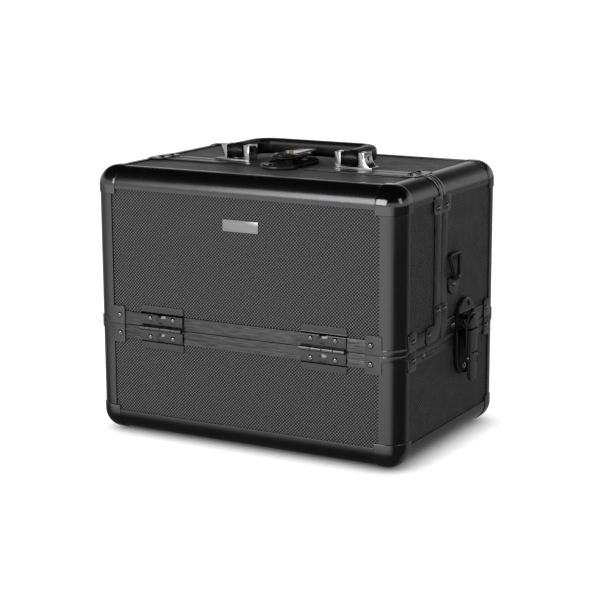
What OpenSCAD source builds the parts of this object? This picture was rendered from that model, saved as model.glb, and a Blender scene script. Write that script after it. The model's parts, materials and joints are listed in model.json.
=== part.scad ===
// A hard makeup case. The upper half splits into a front door and a rear lid,
// hinged along the seam at the front and at the back, with trays on level links.
// Millimetres, origin under the feet at the middle, +X right, +Y to the back, +Z up.

/* [Case] */
// Width over the edge profiles
case_w = 360; // [300:1:460]
// Depth over the edge profiles
case_d = 244; // [220:1:320]
// Height of the frame without the feet
case_h = 285; // [270:1:360]
// Height of the lower half
seam_h = 118; // [90:1:140]
// Depth of the front door, from the front face to the split
door_d = 96; // [88:1:110]
// Gap where two shells meet
shell_gap = 0.4; // [0.2:0.1:1]
// Height of the feet
foot_h = 3; // [2:0.5:6]
// Radius of the feet
foot_r = 8; // [5:0.5:12]

/* [Edge profiles] */
// Outer radius of the edge profiles
edge_r = 20; // [14:0.5:21]
// Leg of the edge profiles
edge_leg = 23; // [22:0.5:28]
// Wall of the profile outside the panel
skin_t = 1.5; // [1:0.1:2]
// Thickness of the panels
panel_t = 4; // [3:0.1:5]
// Wall of the profile inside the panel
flange_t = 1.5; // [1:0.1:2]
// Solid corner of the profile, up to the edge of the panel
edge_core = 15; // [13.5:0.1:17]
// Reach of the inner flange
flange_leg = 22; // [20:0.5:26]
// Height of the rims along the seam and the split
rim_h = 14.5; // [12:0.5:18]
// Web of a rim between its edge and the panel
rim_web = 2.5; // [1.5:0.1:4]
// Width of the groove along a lower rim
groove_w = 1.4; // [0.8:0.1:2]
// Depth of that groove
groove_t = 0.5; // [0.3:0.1:0.9]
// Clearance around a panel edge
edge_clr = 0.3; // [0.1:0.1:0.6]

/* [Corner fittings] */
// Reach of a corner cap
cap_leg = 28; // [26:0.5:34]
// How far a cap stands proud
cap_proud = 0.8; // [0.4:0.1:1.5]
// Sheet thickness of the clips
clip_t = 1; // [0.6:0.1:1.5]
// Reach of a clip along each face
clip_reach = 37; // [34:0.5:44]
// Where the ear of a clip begins
clip_in = 19; // [16:0.5:24]
// Height of the ears
clip_h = 19.5; // [15:0.5:24]
// Height of the band round the corner
clip_band = 6; // [4:0.5:10]
// Rivet from the corner
clip_rivet = 31; // [27:0.5:33]
// Rivet from the seam
clip_rivet_h = 9.5; // [6:0.5:12]
// Length of the foot of the plates where split and seam meet
ell_foot = 35; // [28:0.5:45]
// Height of that foot
ell_h = 17.3; // [12:0.1:22]
// Width of the upright arm
ell_arm = 14.6; // [10:0.1:18]
// Height of the upright arm
ell_top = 36; // [28:0.5:48]
// Radius of a rivet head
rivet_r = 2.6; // [1.5:0.1:3.5]
// Height of a rivet head
rivet_h = 1.2; // [0.6:0.1:2]

/* [Hinges] */
// Width of a hinge
hinge_w = 52; // [36:1:70]
// Hinge centre from the middle
hinge_x = 96; // [60:1:110]
// Distance of the hinge axis from the face
hinge_out = 3.2; // [3:0.1:5]
// Radius of the knuckles
knuckle_r = 2.6; // [2:0.1:3]
// Radius of the hinge pins
hinge_pin_r = 1.3; // [0.8:0.1:1.6]
// Number of knuckles in a hinge
knuckles = 4; // [4:2:8]
// Gap between knuckles
knuckle_gap = 0.3; // [0.2:0.1:0.6]
// Thickness of the leaves
leaf_t = 1.5; // [1:0.1:2]
// Height of a leaf from the axis
leaf_h = 23.5; // [20:0.5:30]
// Edge of the leaf from the axis
leaf_in = 3.2; // [3.1:0.1:4.5]
// Rivets from the middle of the hinge
leaf_rivet_x = 14; // [9:0.5:22]
// Rivets from the axis
leaf_rivet_z = 10; // [8:0.5:12]

/* [Draw latches] */
// Half width of the base plate and the keeper
latch_r = 22; // [18:0.5:26]
// Length of the base plate below the seam
latch_len = 50; // [44:0.5:60]
// Middle of the side latches behind the split
latch_back = 58; // [58:1:75]
// Height of the keeper
keeper_h = 33; // [31:0.5:36]
// Height of the lip of the hood
hood_lip = 20.7; // [19:0.1:23]
// How far the hood stands out
hood_out = 4.5; // [4:0.5:6]
// Width of the lever
lever_w = 21; // [16:0.5:24]
// Length of the lever
lever_len = 56; // [48:0.5:64]
// Outer face of the lever
lever_out = 13; // [13:0.5:16]
// Lever pivot below the seam
pivot_u = 5; // [4:0.5:6]
// Lever pivot above the face
pivot_w = 7; // [6.5:0.5:8]
// Hook pivot below the seam
hook_u = 30; // [26:0.5:34]
// Hook pivot above the face
hook_w = 10.5; // [10:0.1:11]
// Top of the hook above the seam
hook_top = 15.6; // [14:0.1:16]
// Radius of the latch pins
latch_pin_r = 1.2; // [0.8:0.1:1.5]
// Sheet thickness of the latches
latch_t = 1.2; // [0.8:0.1:1.5]

/* [Handle] */
// Middle of the handle ends from the middle of the case
handle_x = 69; // [64:0.5:80]
// Width of a handle section
handle_w = 17; // [12:0.5:20]
// Thickness of the grip
handle_t = 17; // [12:0.5:17]
// Reach from the pivot to the middle of the grip
handle_reach = 50; // [45:0.5:60]
// Bend radius of the handle at its middle line
handle_bend = 22; // [18:0.5:30]
// Pivot height over the top
handle_pivot_h = 10; // [9:0.5:13]
// Pivot behind the split
handle_pivot_y = 20.5; // [12:0.5:24]
// Radius of the round handle ends
bush_r = 8.5; // [6:0.5:8.9]
// Radius of the handle pins
handle_pin_r = 2.2; // [1.5:0.1:3]
// Inner width of a bracket
bracket_gap = 21; // [19:0.5:26]
// Thickness of an ear
ear_t = 6.5; // [4:0.5:9]
// Height of the ears
ear_h = 16.5; // [14:0.5:20]
// Depth of a bracket
bracket_d = 18; // [14:0.5:22]
// Thickness of the bracket floor
bracket_floor = 1.2; // [0.8:0.1:1.4]
// Foot outside the outer ear
ear_foot = 9; // [5:0.5:14]

/* [Strap rings] */
// Middle of the rings behind the split
ring_back = 31; // [22:1:60]
// Height of the ring eye over the seam
ring_eye_h = 59; // [52:0.5:80]
// Height of a ring
ring_h = 24; // [18:0.5:34]
// Length of the upper bar
ring_w = 26; // [20:0.5:32]
// Radius of the wire
ring_wire = 2.1; // [1.5:0.1:2.5]
// Half length of the lower bar
ring_foot = 5.5; // [5:0.5:9]
// Half width of the ring plate
ring_plate_r = 15; // [12:0.5:18]

/* [Trays] */
// Height of a tray
tray_h = 32; // [24:0.5:33]
// Wall of a tray
tray_t = 2; // [1.5:0.1:3]
// Gap between the shell and a tray side
tray_side = 4; // [3.5:0.1:6]
// Thickness of the link arms
arm_t = 2; // [1.5:0.1:2.5]
// Half width of the link arms
arm_r = 5; // [4:0.5:6]
// Radius of the link pivots
link_r = 2; // [1.5:0.1:2.5]
// Tray pivot inside the hinge axis
tray_in = 32; // [31:0.5:33]
// Step inwards to the upper rear tray
tray_step_in = 30; // [28:0.5:34]
// Lower rear tray pivot over the hinge axis
tray_up = 45; // [40:0.5:50]
// Step up to the upper rear tray
tray_step_up = 45; // [42:0.5:50]
// Front tray pivot over the hinge axis
front_up = 62; // [50:0.5:90]
// Front tray short of the split
front_short = 2.2; // [2:0.1:4]
// Upper rear tray short of the split
rear_short = 1.2; // [1:0.1:4]
// Arm pivots below the seam
arm_down = 11; // [9:0.5:13]
// Tray pivot over the tray bottom
tray_pivot_h = 16; // [15.5:0.5:18]
// Tray beyond its hinge side pivot
tray_over = 11; // [8:0.5:12]

/* [Nameplate] */
// Width of the bare plate
name_w = 42; // [20:1:80]
// Height of the bare plate
name_h = 12.5; // [8:0.5:20]
// Thickness of the bare plate
name_t = 0.8; // [0.4:0.1:1.2]
// Middle of the plate over the seam
name_z = 116; // [60:1:130]

/* [Hidden] */
$fn = 48;
big = 600;
fit = 0.05;
wall = skin_t + panel_t + flange_t;
lining_at = skin_t + panel_t;
half_gap = shell_gap / 2;
seam_z = foot_h + seam_h;
base_h = seam_h - half_gap;
upper_h = case_h - seam_h - half_gap;
top_z = foot_h + case_h;
split_y = -case_d / 2 + door_d;
door_deep = door_d - half_gap;
lid_deep = case_d - door_d - half_gap;
arm_z = seam_z - arm_down;
hinge_y = case_d / 2 + hinge_out;
tray_lap = arm_r;
front_arm_in = door_d + hinge_out - tray_in - tray_lap - front_short;
rear_arm_in = case_d - door_d + hinge_out - tray_in - tray_step_in - tray_lap - rear_short;
front_arm_y = -hinge_y + front_arm_in;
rear_arm_y = hinge_y - rear_arm_in;
tray_x = case_w / 2 - wall - tray_side;
arm_x = tray_x + (tray_side - arm_t) / 2;
arm_head = 0.8;
stud_base_r = 6;
stud_head = 1.2;
leg_off = 1.6;
foot_in = 38;
ring_plate_w = skin_t + clip_t;
front_pivot = [-hinge_y + tray_in, seam_z + front_up];
front_link = front_pivot + [front_arm_in, -arm_down];
lower_pivot = [hinge_y - tray_in, seam_z + tray_up];
lower_link = lower_pivot + [-rear_arm_in, -arm_down];
upper_pivot = lower_pivot + [-tray_step_in, tray_step_up];
upper_link = lower_link + [-tray_step_in, tray_step_up];
side_tongue = 2.4;
side_catch = 6.8;
top_catch = 6;
lock_u = 8;
bush_bore = 4.5;
ring_out = ring_wire + 2;
ring_lean = ring_wire + 0.3 - ring_out - skin_t;
ring_eye = ring_foot - ring_wire - 0.5;
bend_swell = 0.15;
ring_drop = 3;
ear_shy = 3;
ear_toe = 1.2;
front_place = [tray_in - hinge_out, front_up - half_gap];
lower_place = [tray_in - hinge_out, tray_up - half_gap];
upper_place = [tray_in + tray_step_in - hinge_out, tray_up + tray_step_up - half_gap];
black = [0.07, 0.07, 0.075];
satin = [0.16, 0.16, 0.17];
mesh_grey = [0.24, 0.24, 0.25];
gunmetal = [0.3, 0.3, 0.31];
bright = [0.78, 0.78, 0.8];
lining_grey = [0.12, 0.12, 0.13];
brass = [0.75, 0.6, 0.3];

// Helpers

module both_x() {
    children();
    mirror([1, 0, 0]) children();
}

module both_y() {
    children();
    mirror([0, 1, 0]) children();
}

module four_corners() {
    both_x() both_y() children();
}

// Turns a part drawn along Z so that it runs along X, with x to Y and y to Z.
module along_x() {
    rotate([90, 0, 90]) children();
}

// Turns a part drawn along Z so that it runs along Y, with x to Z and y to X.
module along_y() {
    rotate([90, 0, 90]) rotate([90, 0, 90]) children();
}

// A square corner with its outer edge rounded, grown outwards by out.
module corner_2d(leg, out) {
    difference() {
        translate([-out, -out]) square(leg + out);
        difference() {
            translate([-out, -out]) square(edge_r + out);
            translate([edge_r, edge_r]) circle(r = edge_r + out);
        }
    }
}

module board_slots_2d() {
    translate([edge_core, skin_t]) square([big, panel_t]);
    translate([skin_t, edge_core]) square([panel_t, big]);
    translate([wall, wall]) square(big);
    translate([flange_leg, skin_t]) square([big, big]);
    translate([skin_t, flange_leg]) square([big, big]);
}

module edge_2d() {
    difference() {
        corner_2d(edge_leg, 0);
        board_slots_2d();
    }
}

module edge_bar(len) {
    linear_extrude(len) edge_2d();
}

// Half section of a rounded corner column, from its axis outwards.
module column_2d(len, out) {
    intersection() {
        union() {
            translate([0, edge_r]) square([edge_r + out, len - edge_r]);
            translate([0, edge_r]) circle(r = edge_r + out);
        }
        translate([0, -out]) square([edge_r + out, len + out]);
    }
}

// A block with three rounded edges that meet in a ball.
module round_corner(len, out) {
    translate([edge_r, edge_r, 0]) rotate([0, 0, 180]) rotate_extrude(angle = 90) column_2d(len, out);
    translate([edge_r, edge_r, 0]) along_x() linear_extrude(len - edge_r) mirror([1, 0]) column_2d(len, out);
    translate([edge_r, len, 0]) rotate([90, 0, 0]) linear_extrude(len - edge_r) mirror([1, 0]) column_2d(len, out);
    translate([edge_r, edge_r, -out]) cube([len - edge_r, len - edge_r, len + out]);
}

// Three way cap: a core that closes the corner and a thin skirt over the profile ends.
module corner_cap() {
    reach = big;
    difference() {
        round_corner(cap_leg, cap_proud);
        translate([0, 0, edge_leg]) linear_extrude(reach) corner_2d(reach, 0);
        translate([edge_leg, 0, 0]) along_x() linear_extrude(reach) corner_2d(reach, 0);
        translate([0, edge_leg, 0]) along_y() linear_extrude(reach) corner_2d(reach, 0);
        translate([edge_core, skin_t, edge_core]) cube([reach, panel_t, reach]);
        translate([skin_t, edge_core, edge_core]) cube([panel_t, reach, reach]);
        translate([edge_core, edge_core, skin_t]) cube([reach, reach, panel_t]);
        translate([wall, wall, wall]) cube(reach);
    }
}

// A rim along Z: face on y = 0, free edge on x = 0, board slot open to +x.
module rim_2d(grooved) {
    difference() {
        square([rim_h, wall]);
        translate([rim_web, skin_t]) square([rim_h, panel_t]);
        if (grooved) translate([(rim_h - groove_w) / 2, -groove_t]) square([groove_w, 2 * groove_t]);
    }
}

module rivet(r = rivet_r, h = rivet_h) {
    rotate_extrude() intersection() {
        translate([0, h - dome_r(r, h)]) circle(r = dome_r(r, h));
        square([r, h]);
    }
}

// Radius of the ball whose cap has radius r and height h.
function dome_r(r, h) = (r * r + h * h) / (2 * h);

module rounded_2d(w, h, r) {
    translate([r, 0]) square([w - 2 * r, h]);
    translate([0, r]) square([w, h - 2 * r]);
    for (x = [r, w - r], y = [r, h - r]) translate([x, y]) circle(r = r);
}

// Base

module base_corner() {
    four_corners() translate([-case_w / 2, -case_d / 2, foot_h]) children();
}

module face_board(h) {
    translate([-case_w / 2 + edge_core + edge_clr, -case_d / 2 + skin_t, edge_core + edge_clr])
        cube([case_w - 2 * (edge_core + edge_clr), panel_t, h - edge_core - rim_web - 2 * edge_clr]);
}

module base_face_board() {
    translate([0, 0, foot_h]) face_board(base_h);
}

module base_side_board() {
    inset = edge_core + edge_clr;
    difference() {
        translate([-case_w / 2 + skin_t, -case_d / 2 + inset, foot_h + inset])
            cube([panel_t, case_d - 2 * inset, base_h - inset - rim_web - edge_clr]);
        arm_bores();
    }
}

module arm_bores() {
    for (y = [front_arm_y, rear_arm_y]) translate([-case_w / 2, y, arm_z])
        rotate([0, 90, 0]) cylinder(r = link_r + fit, h = 3 * wall, center = true);
}

module base_front_panel() {
    color(mesh_grey) base_face_board();
}

module base_rear_panel() {
    color(mesh_grey) mirror([0, 1, 0]) base_face_board();
}

module base_side_panels() {
    color(mesh_grey) both_x() base_side_board();
}

module base_floor() {
    inset = edge_core + edge_clr;
    color(mesh_grey) translate([-case_w / 2 + inset, -case_d / 2 + inset, foot_h + skin_t])
        cube([case_w - 2 * inset, case_d - 2 * inset, panel_t]);
}

module base_edges() {
    color(black) {
        base_corner() translate([0, 0, edge_leg]) edge_bar(base_h - edge_leg);
        both_y() translate([-case_w / 2 + edge_leg, -case_d / 2, foot_h])
            along_x() edge_bar(case_w - 2 * edge_leg);
        both_x() translate([-case_w / 2, -case_d / 2 + edge_leg, foot_h])
            along_y() edge_bar(case_d - 2 * edge_leg);
    }
}

module base_corner_caps() {
    color(black) base_corner() corner_cap();
}

// The rim bars stand on the seam with the board slot downwards.
module rim_along_x(len, grooved) {
    rotate([0, 90, 0]) linear_extrude(len) rim_2d(grooved);
}

module rim_along_y(len, grooved) {
    mirror([1, -1, 0]) rim_along_x(len, grooved);
}

module base_rim() {
    top = foot_h + base_h;
    color(satin) {
        both_y() translate([-case_w / 2 + edge_leg, -case_d / 2, top])
            rim_along_x(case_w - 2 * edge_leg, true);
        both_x() difference() {
            translate([-case_w / 2, -case_d / 2 + edge_leg, top]) rim_along_y(case_d - 2 * edge_leg, true);
            arm_bores();
        }
    }
}

// A bent clip on the outside of a rounded corner, standing up from z = 0.
module corner_clip() {
    difference() {
        union() {
            linear_extrude(clip_band) corner_2d(clip_reach, clip_t);
            translate([clip_in, 0, 0]) rotate([90, 0, 0]) linear_extrude(clip_t) clip_ear_2d();
            translate([-clip_t, clip_in, 0]) along_x() linear_extrude(clip_t) clip_ear_2d();
        }
        translate([0, 0, -1]) linear_extrude(clip_band + 2) corner_2d(big, 0);
    }
}

module clip_ear_2d() {
    square([clip_reach - clip_in, clip_h / 2]);
    rounded_2d(clip_reach - clip_in, clip_h, 3);
}

module clip_rivets() {
    translate([clip_rivet, -clip_t, clip_rivet_h]) rotate([90, 0, 0]) rivet();
    translate([-clip_t, clip_rivet, clip_rivet_h]) rotate([0, -90, 0]) rivet();
}

module base_corner_clips() {
    color(satin) four_corners() translate([-case_w / 2, -case_d / 2, foot_h + base_h])
        mirror([0, 0, 1]) corner_clip();
}

module base_rivets() {
    color(black) {
        four_corners() translate([-case_w / 2, -case_d / 2, foot_h + base_h])
            mirror([0, 0, 1]) clip_rivets();
        both_y() hinge_at() mirror([0, 0, 1]) leaf_rivets();
        both_x() {
            translate([case_w / 2, front_arm_y, arm_z]) rotate([0, 90, 0]) rivet(rivet_r + 1, rivet_h);
            for (y = [front_arm_y, rear_arm_y]) translate([arm_x - arm_head, y, arm_z])
                rotate([0, 90, 0]) arm_stud(case_w / 2 - arm_x + arm_head);
        }
    }
}

// A pivot stud along Z with a flat head inside the link arm.
module arm_stud(len) {
    cylinder(r = link_r, h = len);
    cylinder(r = link_r + 1.5, h = arm_head - 2 * fit);
}

module base_feet() {
    color([0.05, 0.05, 0.05]) four_corners() translate([-case_w / 2 + foot_in, -case_d / 2 + foot_in, 0])
        rotate_extrude() polygon([[0, 0], [foot_r - 1, 0], [foot_r, 1], [foot_r, foot_h + skin_t],
            [0, foot_h + skin_t]]);
}

// Lining boards fill the space between the inner flanges.
module base_lining() {
    inset = flange_leg + edge_clr;
    side_h = base_h - inset - rim_h - edge_clr;
    color(lining_grey) {
        translate([-case_w / 2 + inset, -case_d / 2 + inset, foot_h + lining_at])
            cube([case_w - 2 * inset, case_d - 2 * inset, flange_t]);
        both_y() translate([-case_w / 2 + inset, -case_d / 2 + lining_at, foot_h + inset])
            cube([case_w - 2 * inset, flange_t, side_h]);
        both_x() translate([-case_w / 2 + lining_at, -case_d / 2 + inset, foot_h + inset])
            cube([flange_t, case_d - 2 * inset, side_h]);
    }
}

// Hinges: drawn for the front, with the axis along X through the origin.

module hinge_at() {
    both_x() translate([hinge_x, -hinge_y, seam_z]) children();
}

module leaf(first) {
    step = hinge_w / knuckles;
    difference() {
        union() {
            translate([-hinge_w / 2, hinge_out - leaf_t, leaf_in]) cube([hinge_w, leaf_t, rim_h + half_gap - leaf_in]);
            translate([-hinge_w / 2, hinge_out - leaf_t, rim_h + half_gap])
                cube([hinge_w, leaf_t + skin_t, leaf_t]);
            translate([-hinge_w / 2, hinge_out + skin_t, rim_h + half_gap]) rotate([90, 0, 0])
                linear_extrude(leaf_t - 0.3) leaf_end_2d();
            translate([0, hinge_out - leaf_t, (leaf_in + rim_h) / 2]) rotate([90, 0, 0]) rivet(4.5, 0.8);
            for (i = [first:2:knuckles - 1]) translate([-hinge_w / 2 + i * step + knuckle_gap / 2, 0, 0]) {
                rotate([0, 90, 0]) cylinder(r = knuckle_r, h = step - knuckle_gap);
                translate([0, hinge_out - leaf_t - 0.6, 0]) cube([step - knuckle_gap, leaf_t, leaf_in + 0.5]);
            }
        }
        rotate([0, 90, 0]) cylinder(r = hinge_pin_r + fit, h = 2 * hinge_w, center = true);
    }
}

module leaf_end_2d() {
    h = leaf_h - rim_h - half_gap;
    square([hinge_w, h / 2]);
    rounded_2d(hinge_w, h, 3.5);
}

module leaf_rivets() {
    for (x = [-leaf_rivet_x, leaf_rivet_x]) translate([x, hinge_out - leaf_t, leaf_rivet_z])
        rotate([90, 0, 0]) rivet();
}

module base_hinge_leaves() {
    color(gunmetal) both_y() hinge_at() mirror([0, 0, 1]) leaf(0);
}

module hinge_pins() {
    color(black) both_y() hinge_at() rotate([0, 90, 0]) cylinder(r = hinge_pin_r, h = hinge_w, center = true);
}

// Upper halves, drawn with the outer face on y = 0, the seam on z = 0 and the split at y = deep.

module at_door() {
    translate([0, -case_d / 2, seam_z + half_gap]) children();
}

module at_lid() {
    translate([0, case_d / 2, seam_z + half_gap]) mirror([0, 1, 0]) children();
}

module upper_face_board() {
    inset = edge_core + edge_clr;
    translate([-case_w / 2 + inset, skin_t, rim_web + edge_clr])
        cube([case_w - 2 * inset, panel_t, upper_h - inset - rim_web - edge_clr]);
}

module upper_top_board(deep) {
    inset = edge_core + edge_clr;
    translate([-case_w / 2 + inset, inset, upper_h - skin_t - panel_t])
        cube([case_w - 2 * inset, deep - inset - rim_web - edge_clr, panel_t]);
}

module upper_side_board(deep) {
    inset = edge_core + edge_clr;
    translate([-case_w / 2 + skin_t, inset, rim_web + edge_clr])
        cube([panel_t, deep - inset - rim_web - edge_clr, upper_h - inset - rim_web - edge_clr]);
}

module upper_edges(deep) {
    both_x() translate([-case_w / 2, 0, 0]) edge_bar(upper_h - edge_leg);
    translate([-case_w / 2 + edge_leg, 0, upper_h]) mirror([0, 0, 1]) along_x() edge_bar(case_w - 2 * edge_leg);
    both_x() translate([-case_w / 2, edge_leg, upper_h]) mirror([0, 0, 1]) along_y() edge_bar(deep - edge_leg);
}

module upper_caps() {
    both_x() translate([-case_w / 2, 0, upper_h]) mirror([0, 0, 1]) corner_cap();
}

module upper_rim(deep) {
    translate([-case_w / 2 + edge_leg, 0, 0]) mirror([0, 0, 1]) rim_along_x(case_w - 2 * edge_leg, false);
    both_x() {
        translate([-case_w / 2, edge_leg, 0]) mirror([0, 0, 1]) rim_along_y(deep - edge_leg, false);
        translate([-case_w / 2, deep, rim_h]) rotate([0, 0, -90])
            linear_extrude(upper_h - rim_h - edge_leg) rim_2d(false);
    }
    translate([-case_w / 2 + edge_leg, deep, upper_h]) rotate([180, 0, 0])
        along_x() linear_extrude(case_w - 2 * edge_leg) rim_2d(false);
}

module upper_clips(deep) {
    both_x() {
        translate([-case_w / 2, 0, 0]) corner_clip();
        translate([-case_w / 2 - clip_t, deep, 0]) mirror([0, 1, 0]) along_x() linear_extrude(clip_t) ell_2d();
        translate([-case_w / 2, deep, upper_h]) rotate([90, 90, 0]) corner_clip();
    }
}

// Plate over the joint of the upright rim and the rim below it.
module ell_2d() {
    square([ell_arm, ell_h]);
    translate([0, ell_h - 4]) rounded_2d(ell_arm, ell_top - ell_h + 4, 3);
    rounded_2d(ell_foot, ell_h, 3);
    square([ell_foot / 2, ell_h]);
}

module upper_clip_rivets(deep) {
    both_x() {
        translate([-case_w / 2, 0, 0]) clip_rivets();
        for (p = [[ell_foot - 6, 8.5], [ell_arm / 2, ell_top - 6]])
            translate([-case_w / 2 - clip_t, deep - p[0], p[1]]) rotate([0, -90, 0]) rivet();
        translate([-case_w / 2, deep, upper_h]) rotate([90, 90, 0]) clip_rivets();
    }
}

module upper_lining(deep, bores) {
    inset = flange_leg + edge_clr;
    low = rim_h + edge_clr;
    translate([-case_w / 2 + inset, lining_at, low]) cube([case_w - 2 * inset, flange_t, upper_h - inset - low]);
    translate([-case_w / 2 + inset, inset, upper_h - wall])
        cube([case_w - 2 * inset, deep - inset - low, flange_t]);
    both_x() difference() {
        translate([-case_w / 2 + lining_at, inset, low])
            cube([flange_t, deep - inset - low, upper_h - inset - low]);
        for (p = bores) translate([-case_w / 2, p[0], p[1]]) rotate([0, 90, 0])
            cylinder(r = stud_base_r + fit, h = 3 * wall, center = true);
    }
}

// Pivot studs that carry a tray, seated on the inside of the side panels.
module tray_studs(places) {
    both_x() for (p = places) translate([-case_w / 2 + lining_at, p[0], p[1]]) rotate([0, 90, 0]) {
        cylinder(r = stud_base_r, h = flange_t);
        cylinder(r = link_r, h = case_w / 2 - lining_at - tray_x + tray_t + stud_head + fit);
        translate([0, 0, case_w / 2 - lining_at - tray_x + tray_t + fit])
            cylinder(r = link_r + 1.5, h = stud_head);
    }
}

// Front door

module door_front_panel() {
    color(mesh_grey) at_door() upper_face_board();
}

module door_top_panel() {
    color(mesh_grey) at_door() upper_top_board(door_deep);
}

module door_side_panels() {
    color(mesh_grey) both_x() at_door() upper_side_board(door_deep);
}

module door_edges() {
    color(black) at_door() upper_edges(door_deep);
}

module door_corner_caps() {
    color(black) at_door() upper_caps();
}

module door_rim() {
    color(satin) at_door() upper_rim(door_deep);
}

module door_clips() {
    color(satin) at_door() upper_clips(door_deep);
}

module door_rivets() {
    color(black) {
        at_door() {
            upper_clip_rivets(door_deep);
            tray_studs([front_place]);
        }
        hinge_at() leaf_rivets();
        keeper_top() keeper_rivet();
    }
}

module door_lining() {
    color(lining_grey) at_door() upper_lining(door_deep, [front_place]);
}

module door_hinge_leaves() {
    color(gunmetal) hinge_at() leaf(1);
}

module nameplate() {
    color(bright) at_door() translate([-name_w / 2, skin_t, name_z - name_h / 2]) rotate([90, 0, 0])
        linear_extrude(name_t) rounded_2d(name_w, name_h, 1.5);
}

// Rear lid

module lid_rear_panel() {
    color(mesh_grey) at_lid() upper_face_board();
}

module lid_top_panel() {
    color(mesh_grey) at_lid() upper_top_board(lid_deep);
}

module lid_side_panels() {
    color(mesh_grey) at_lid() both_x() upper_side_board(lid_deep);
}

module lid_edges() {
    color(black) at_lid() upper_edges(lid_deep);
}

module lid_corner_caps() {
    color(black) at_lid() upper_caps();
}

module lid_rim() {
    color(satin) at_lid() upper_rim(lid_deep);
}

module lid_clips() {
    color(satin) at_lid() upper_clips(lid_deep);
}

module lid_rivets() {
    color(black) {
        at_lid() {
            upper_clip_rivets(lid_deep);
            tray_studs([lower_place, upper_place]);
        }
        mirror([0, 1, 0]) hinge_at() leaf_rivets();
        both_x() side_latch() keeper_rivet();
        both_x() ring_at() translate([clip_t, 0, -ring_drop - 5]) rotate([0, 90, 0]) rivet();
    }
}

module lid_lining() {
    color(lining_grey) at_lid() upper_lining(lid_deep, [lower_place, upper_place]);
}

module lid_hinge_leaves() {
    color(gunmetal) mirror([0, 1, 0]) hinge_at() leaf(1);
}

// Draw latches: x across, y outwards from the face, z from the seam towards the keeper.

module side_latch() {
    translate([case_w / 2, split_y + latch_back, seam_z]) rotate([0, 0, -90]) children();
}

module keeper_top() {
    translate([0, split_y, top_z]) rotate([90, 0, 0]) children();
}

module from_side(w) {
    rotate([0, -90, 0]) translate([0, 0, -w / 2]) linear_extrude(w) children();
}

module latch_plate() {
    ear = lever_w / 2 - latch_t - 2 * 0.5;
    low = -latch_len + latch_r;
    difference() {
        union() {
            rotate([90, 0, 0]) translate([0, 0, -latch_t]) linear_extrude(latch_t) {
                translate([0, low]) circle(r = latch_r);
                translate([-latch_r, low]) square([2 * latch_r, -low - half_gap - 0.4]);
            }
            both_x() translate([latch_r - latch_t, 0, low]) cube([latch_t, 5, -low - half_gap - 0.4]);
            both_x() translate([ear - latch_t, 0, -pivot_u - 3]) cube([latch_t, pivot_w + 2.6, 6]);
        }
        latch_bore(-pivot_u, pivot_w);
    }
    translate([0, latch_t, low - 13]) rotate([-90, 0, 0]) rivet(3.2, 1.8);
}

module latch_bore(u, w) {
    translate([0, w, u]) rotate([0, 90, 0]) cylinder(r = latch_pin_r + fit, h = 4 * lever_w, center = true);
}

module latch_pin(u, w, len) {
    translate([0, w, u]) rotate([0, 90, 0]) cylinder(r = latch_pin_r, h = len, center = true);
}

// A channel whose sides carry both pivots, with a thumb tab at its round end.
module lever() {
    end = -1 - lever_len;
    r = lever_w / 2;
    inner = lever_out - 1.5;
    difference() {
        union() {
            translate([0, lever_out, 0]) rotate([90, 0, 0]) linear_extrude(1.5) {
                translate([0, end + r]) circle(r = r);
                translate([-r, end + r]) square([lever_w, lever_len - r]);
            }
            both_x() translate([r - latch_t / 2, 0, 0]) from_side(latch_t)
                polygon([[-2, inner], [-2, pivot_w - 2.8], [-pivot_u - 3, pivot_w - 2.8],
                    [-hook_u - 3, hook_w - 2.4], [end + 2 * r, inner - 1], [end + 2 * r, inner]]);
        }
        latch_bore(-pivot_u, pivot_w);
        latch_bore(-hook_u, hook_w);
        translate([-r + 3, inner - 1, end + 24]) cube([lever_w - 6, 4, 0.8]);
        translate([r - 3.8, inner - 1, end + 14]) cube([0.8, 4, 10]);
    }
    latch_pin(-hook_u, hook_w, lever_w + 2 * leg_off);
}

// Two legs beside the lever, a frame behind it and the cap above the cross line.
module hook(tongue) {
    r = lever_w / 2;
    out = r + leg_off;
    frame = hook_w - 1;
    difference() {
        union() {
            both_x() translate([out - latch_t / 2, 0, 0]) from_side(latch_t)
                polygon([[-hook_u - 2, hook_w - 2], [-hook_u - 2, hook_w + 1.8], [hook_top - out, frame + 1.5],
                    [hook_top - out, frame], [-hook_u + 4, hook_w - 2]]);
            translate([0, frame + 1.5, 0]) rotate([90, 0, 0]) linear_extrude(1.5) intersection() {
                translate([0, hook_top - out]) circle(r = out);
                translate([-out, 1.5]) square([2 * out, hook_top]);
            }
            translate([0, lever_out - 1.4, 0]) rotate([90, 0, 0]) linear_extrude(lever_out - frame - 2.8)
                intersection() {
                    translate([0, hook_top - out]) circle(r = out - 4);
                    translate([-out, 2.5]) square([2 * out, hook_top]);
                }
            translate([0, lever_out, 0]) rotate([90, 0, 0]) linear_extrude(1.5) intersection() {
                translate([0, hook_top - out]) circle(r = r);
                translate([-r, 0.8]) square([lever_w, hook_top]);
            }
            if (tongue > 0) translate([-5, frame - tongue, hook_top - 2.4]) cube([10, tongue + 0.1, 1.5]);
        }
        latch_bore(-hook_u, hook_w);
    }
}

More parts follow.
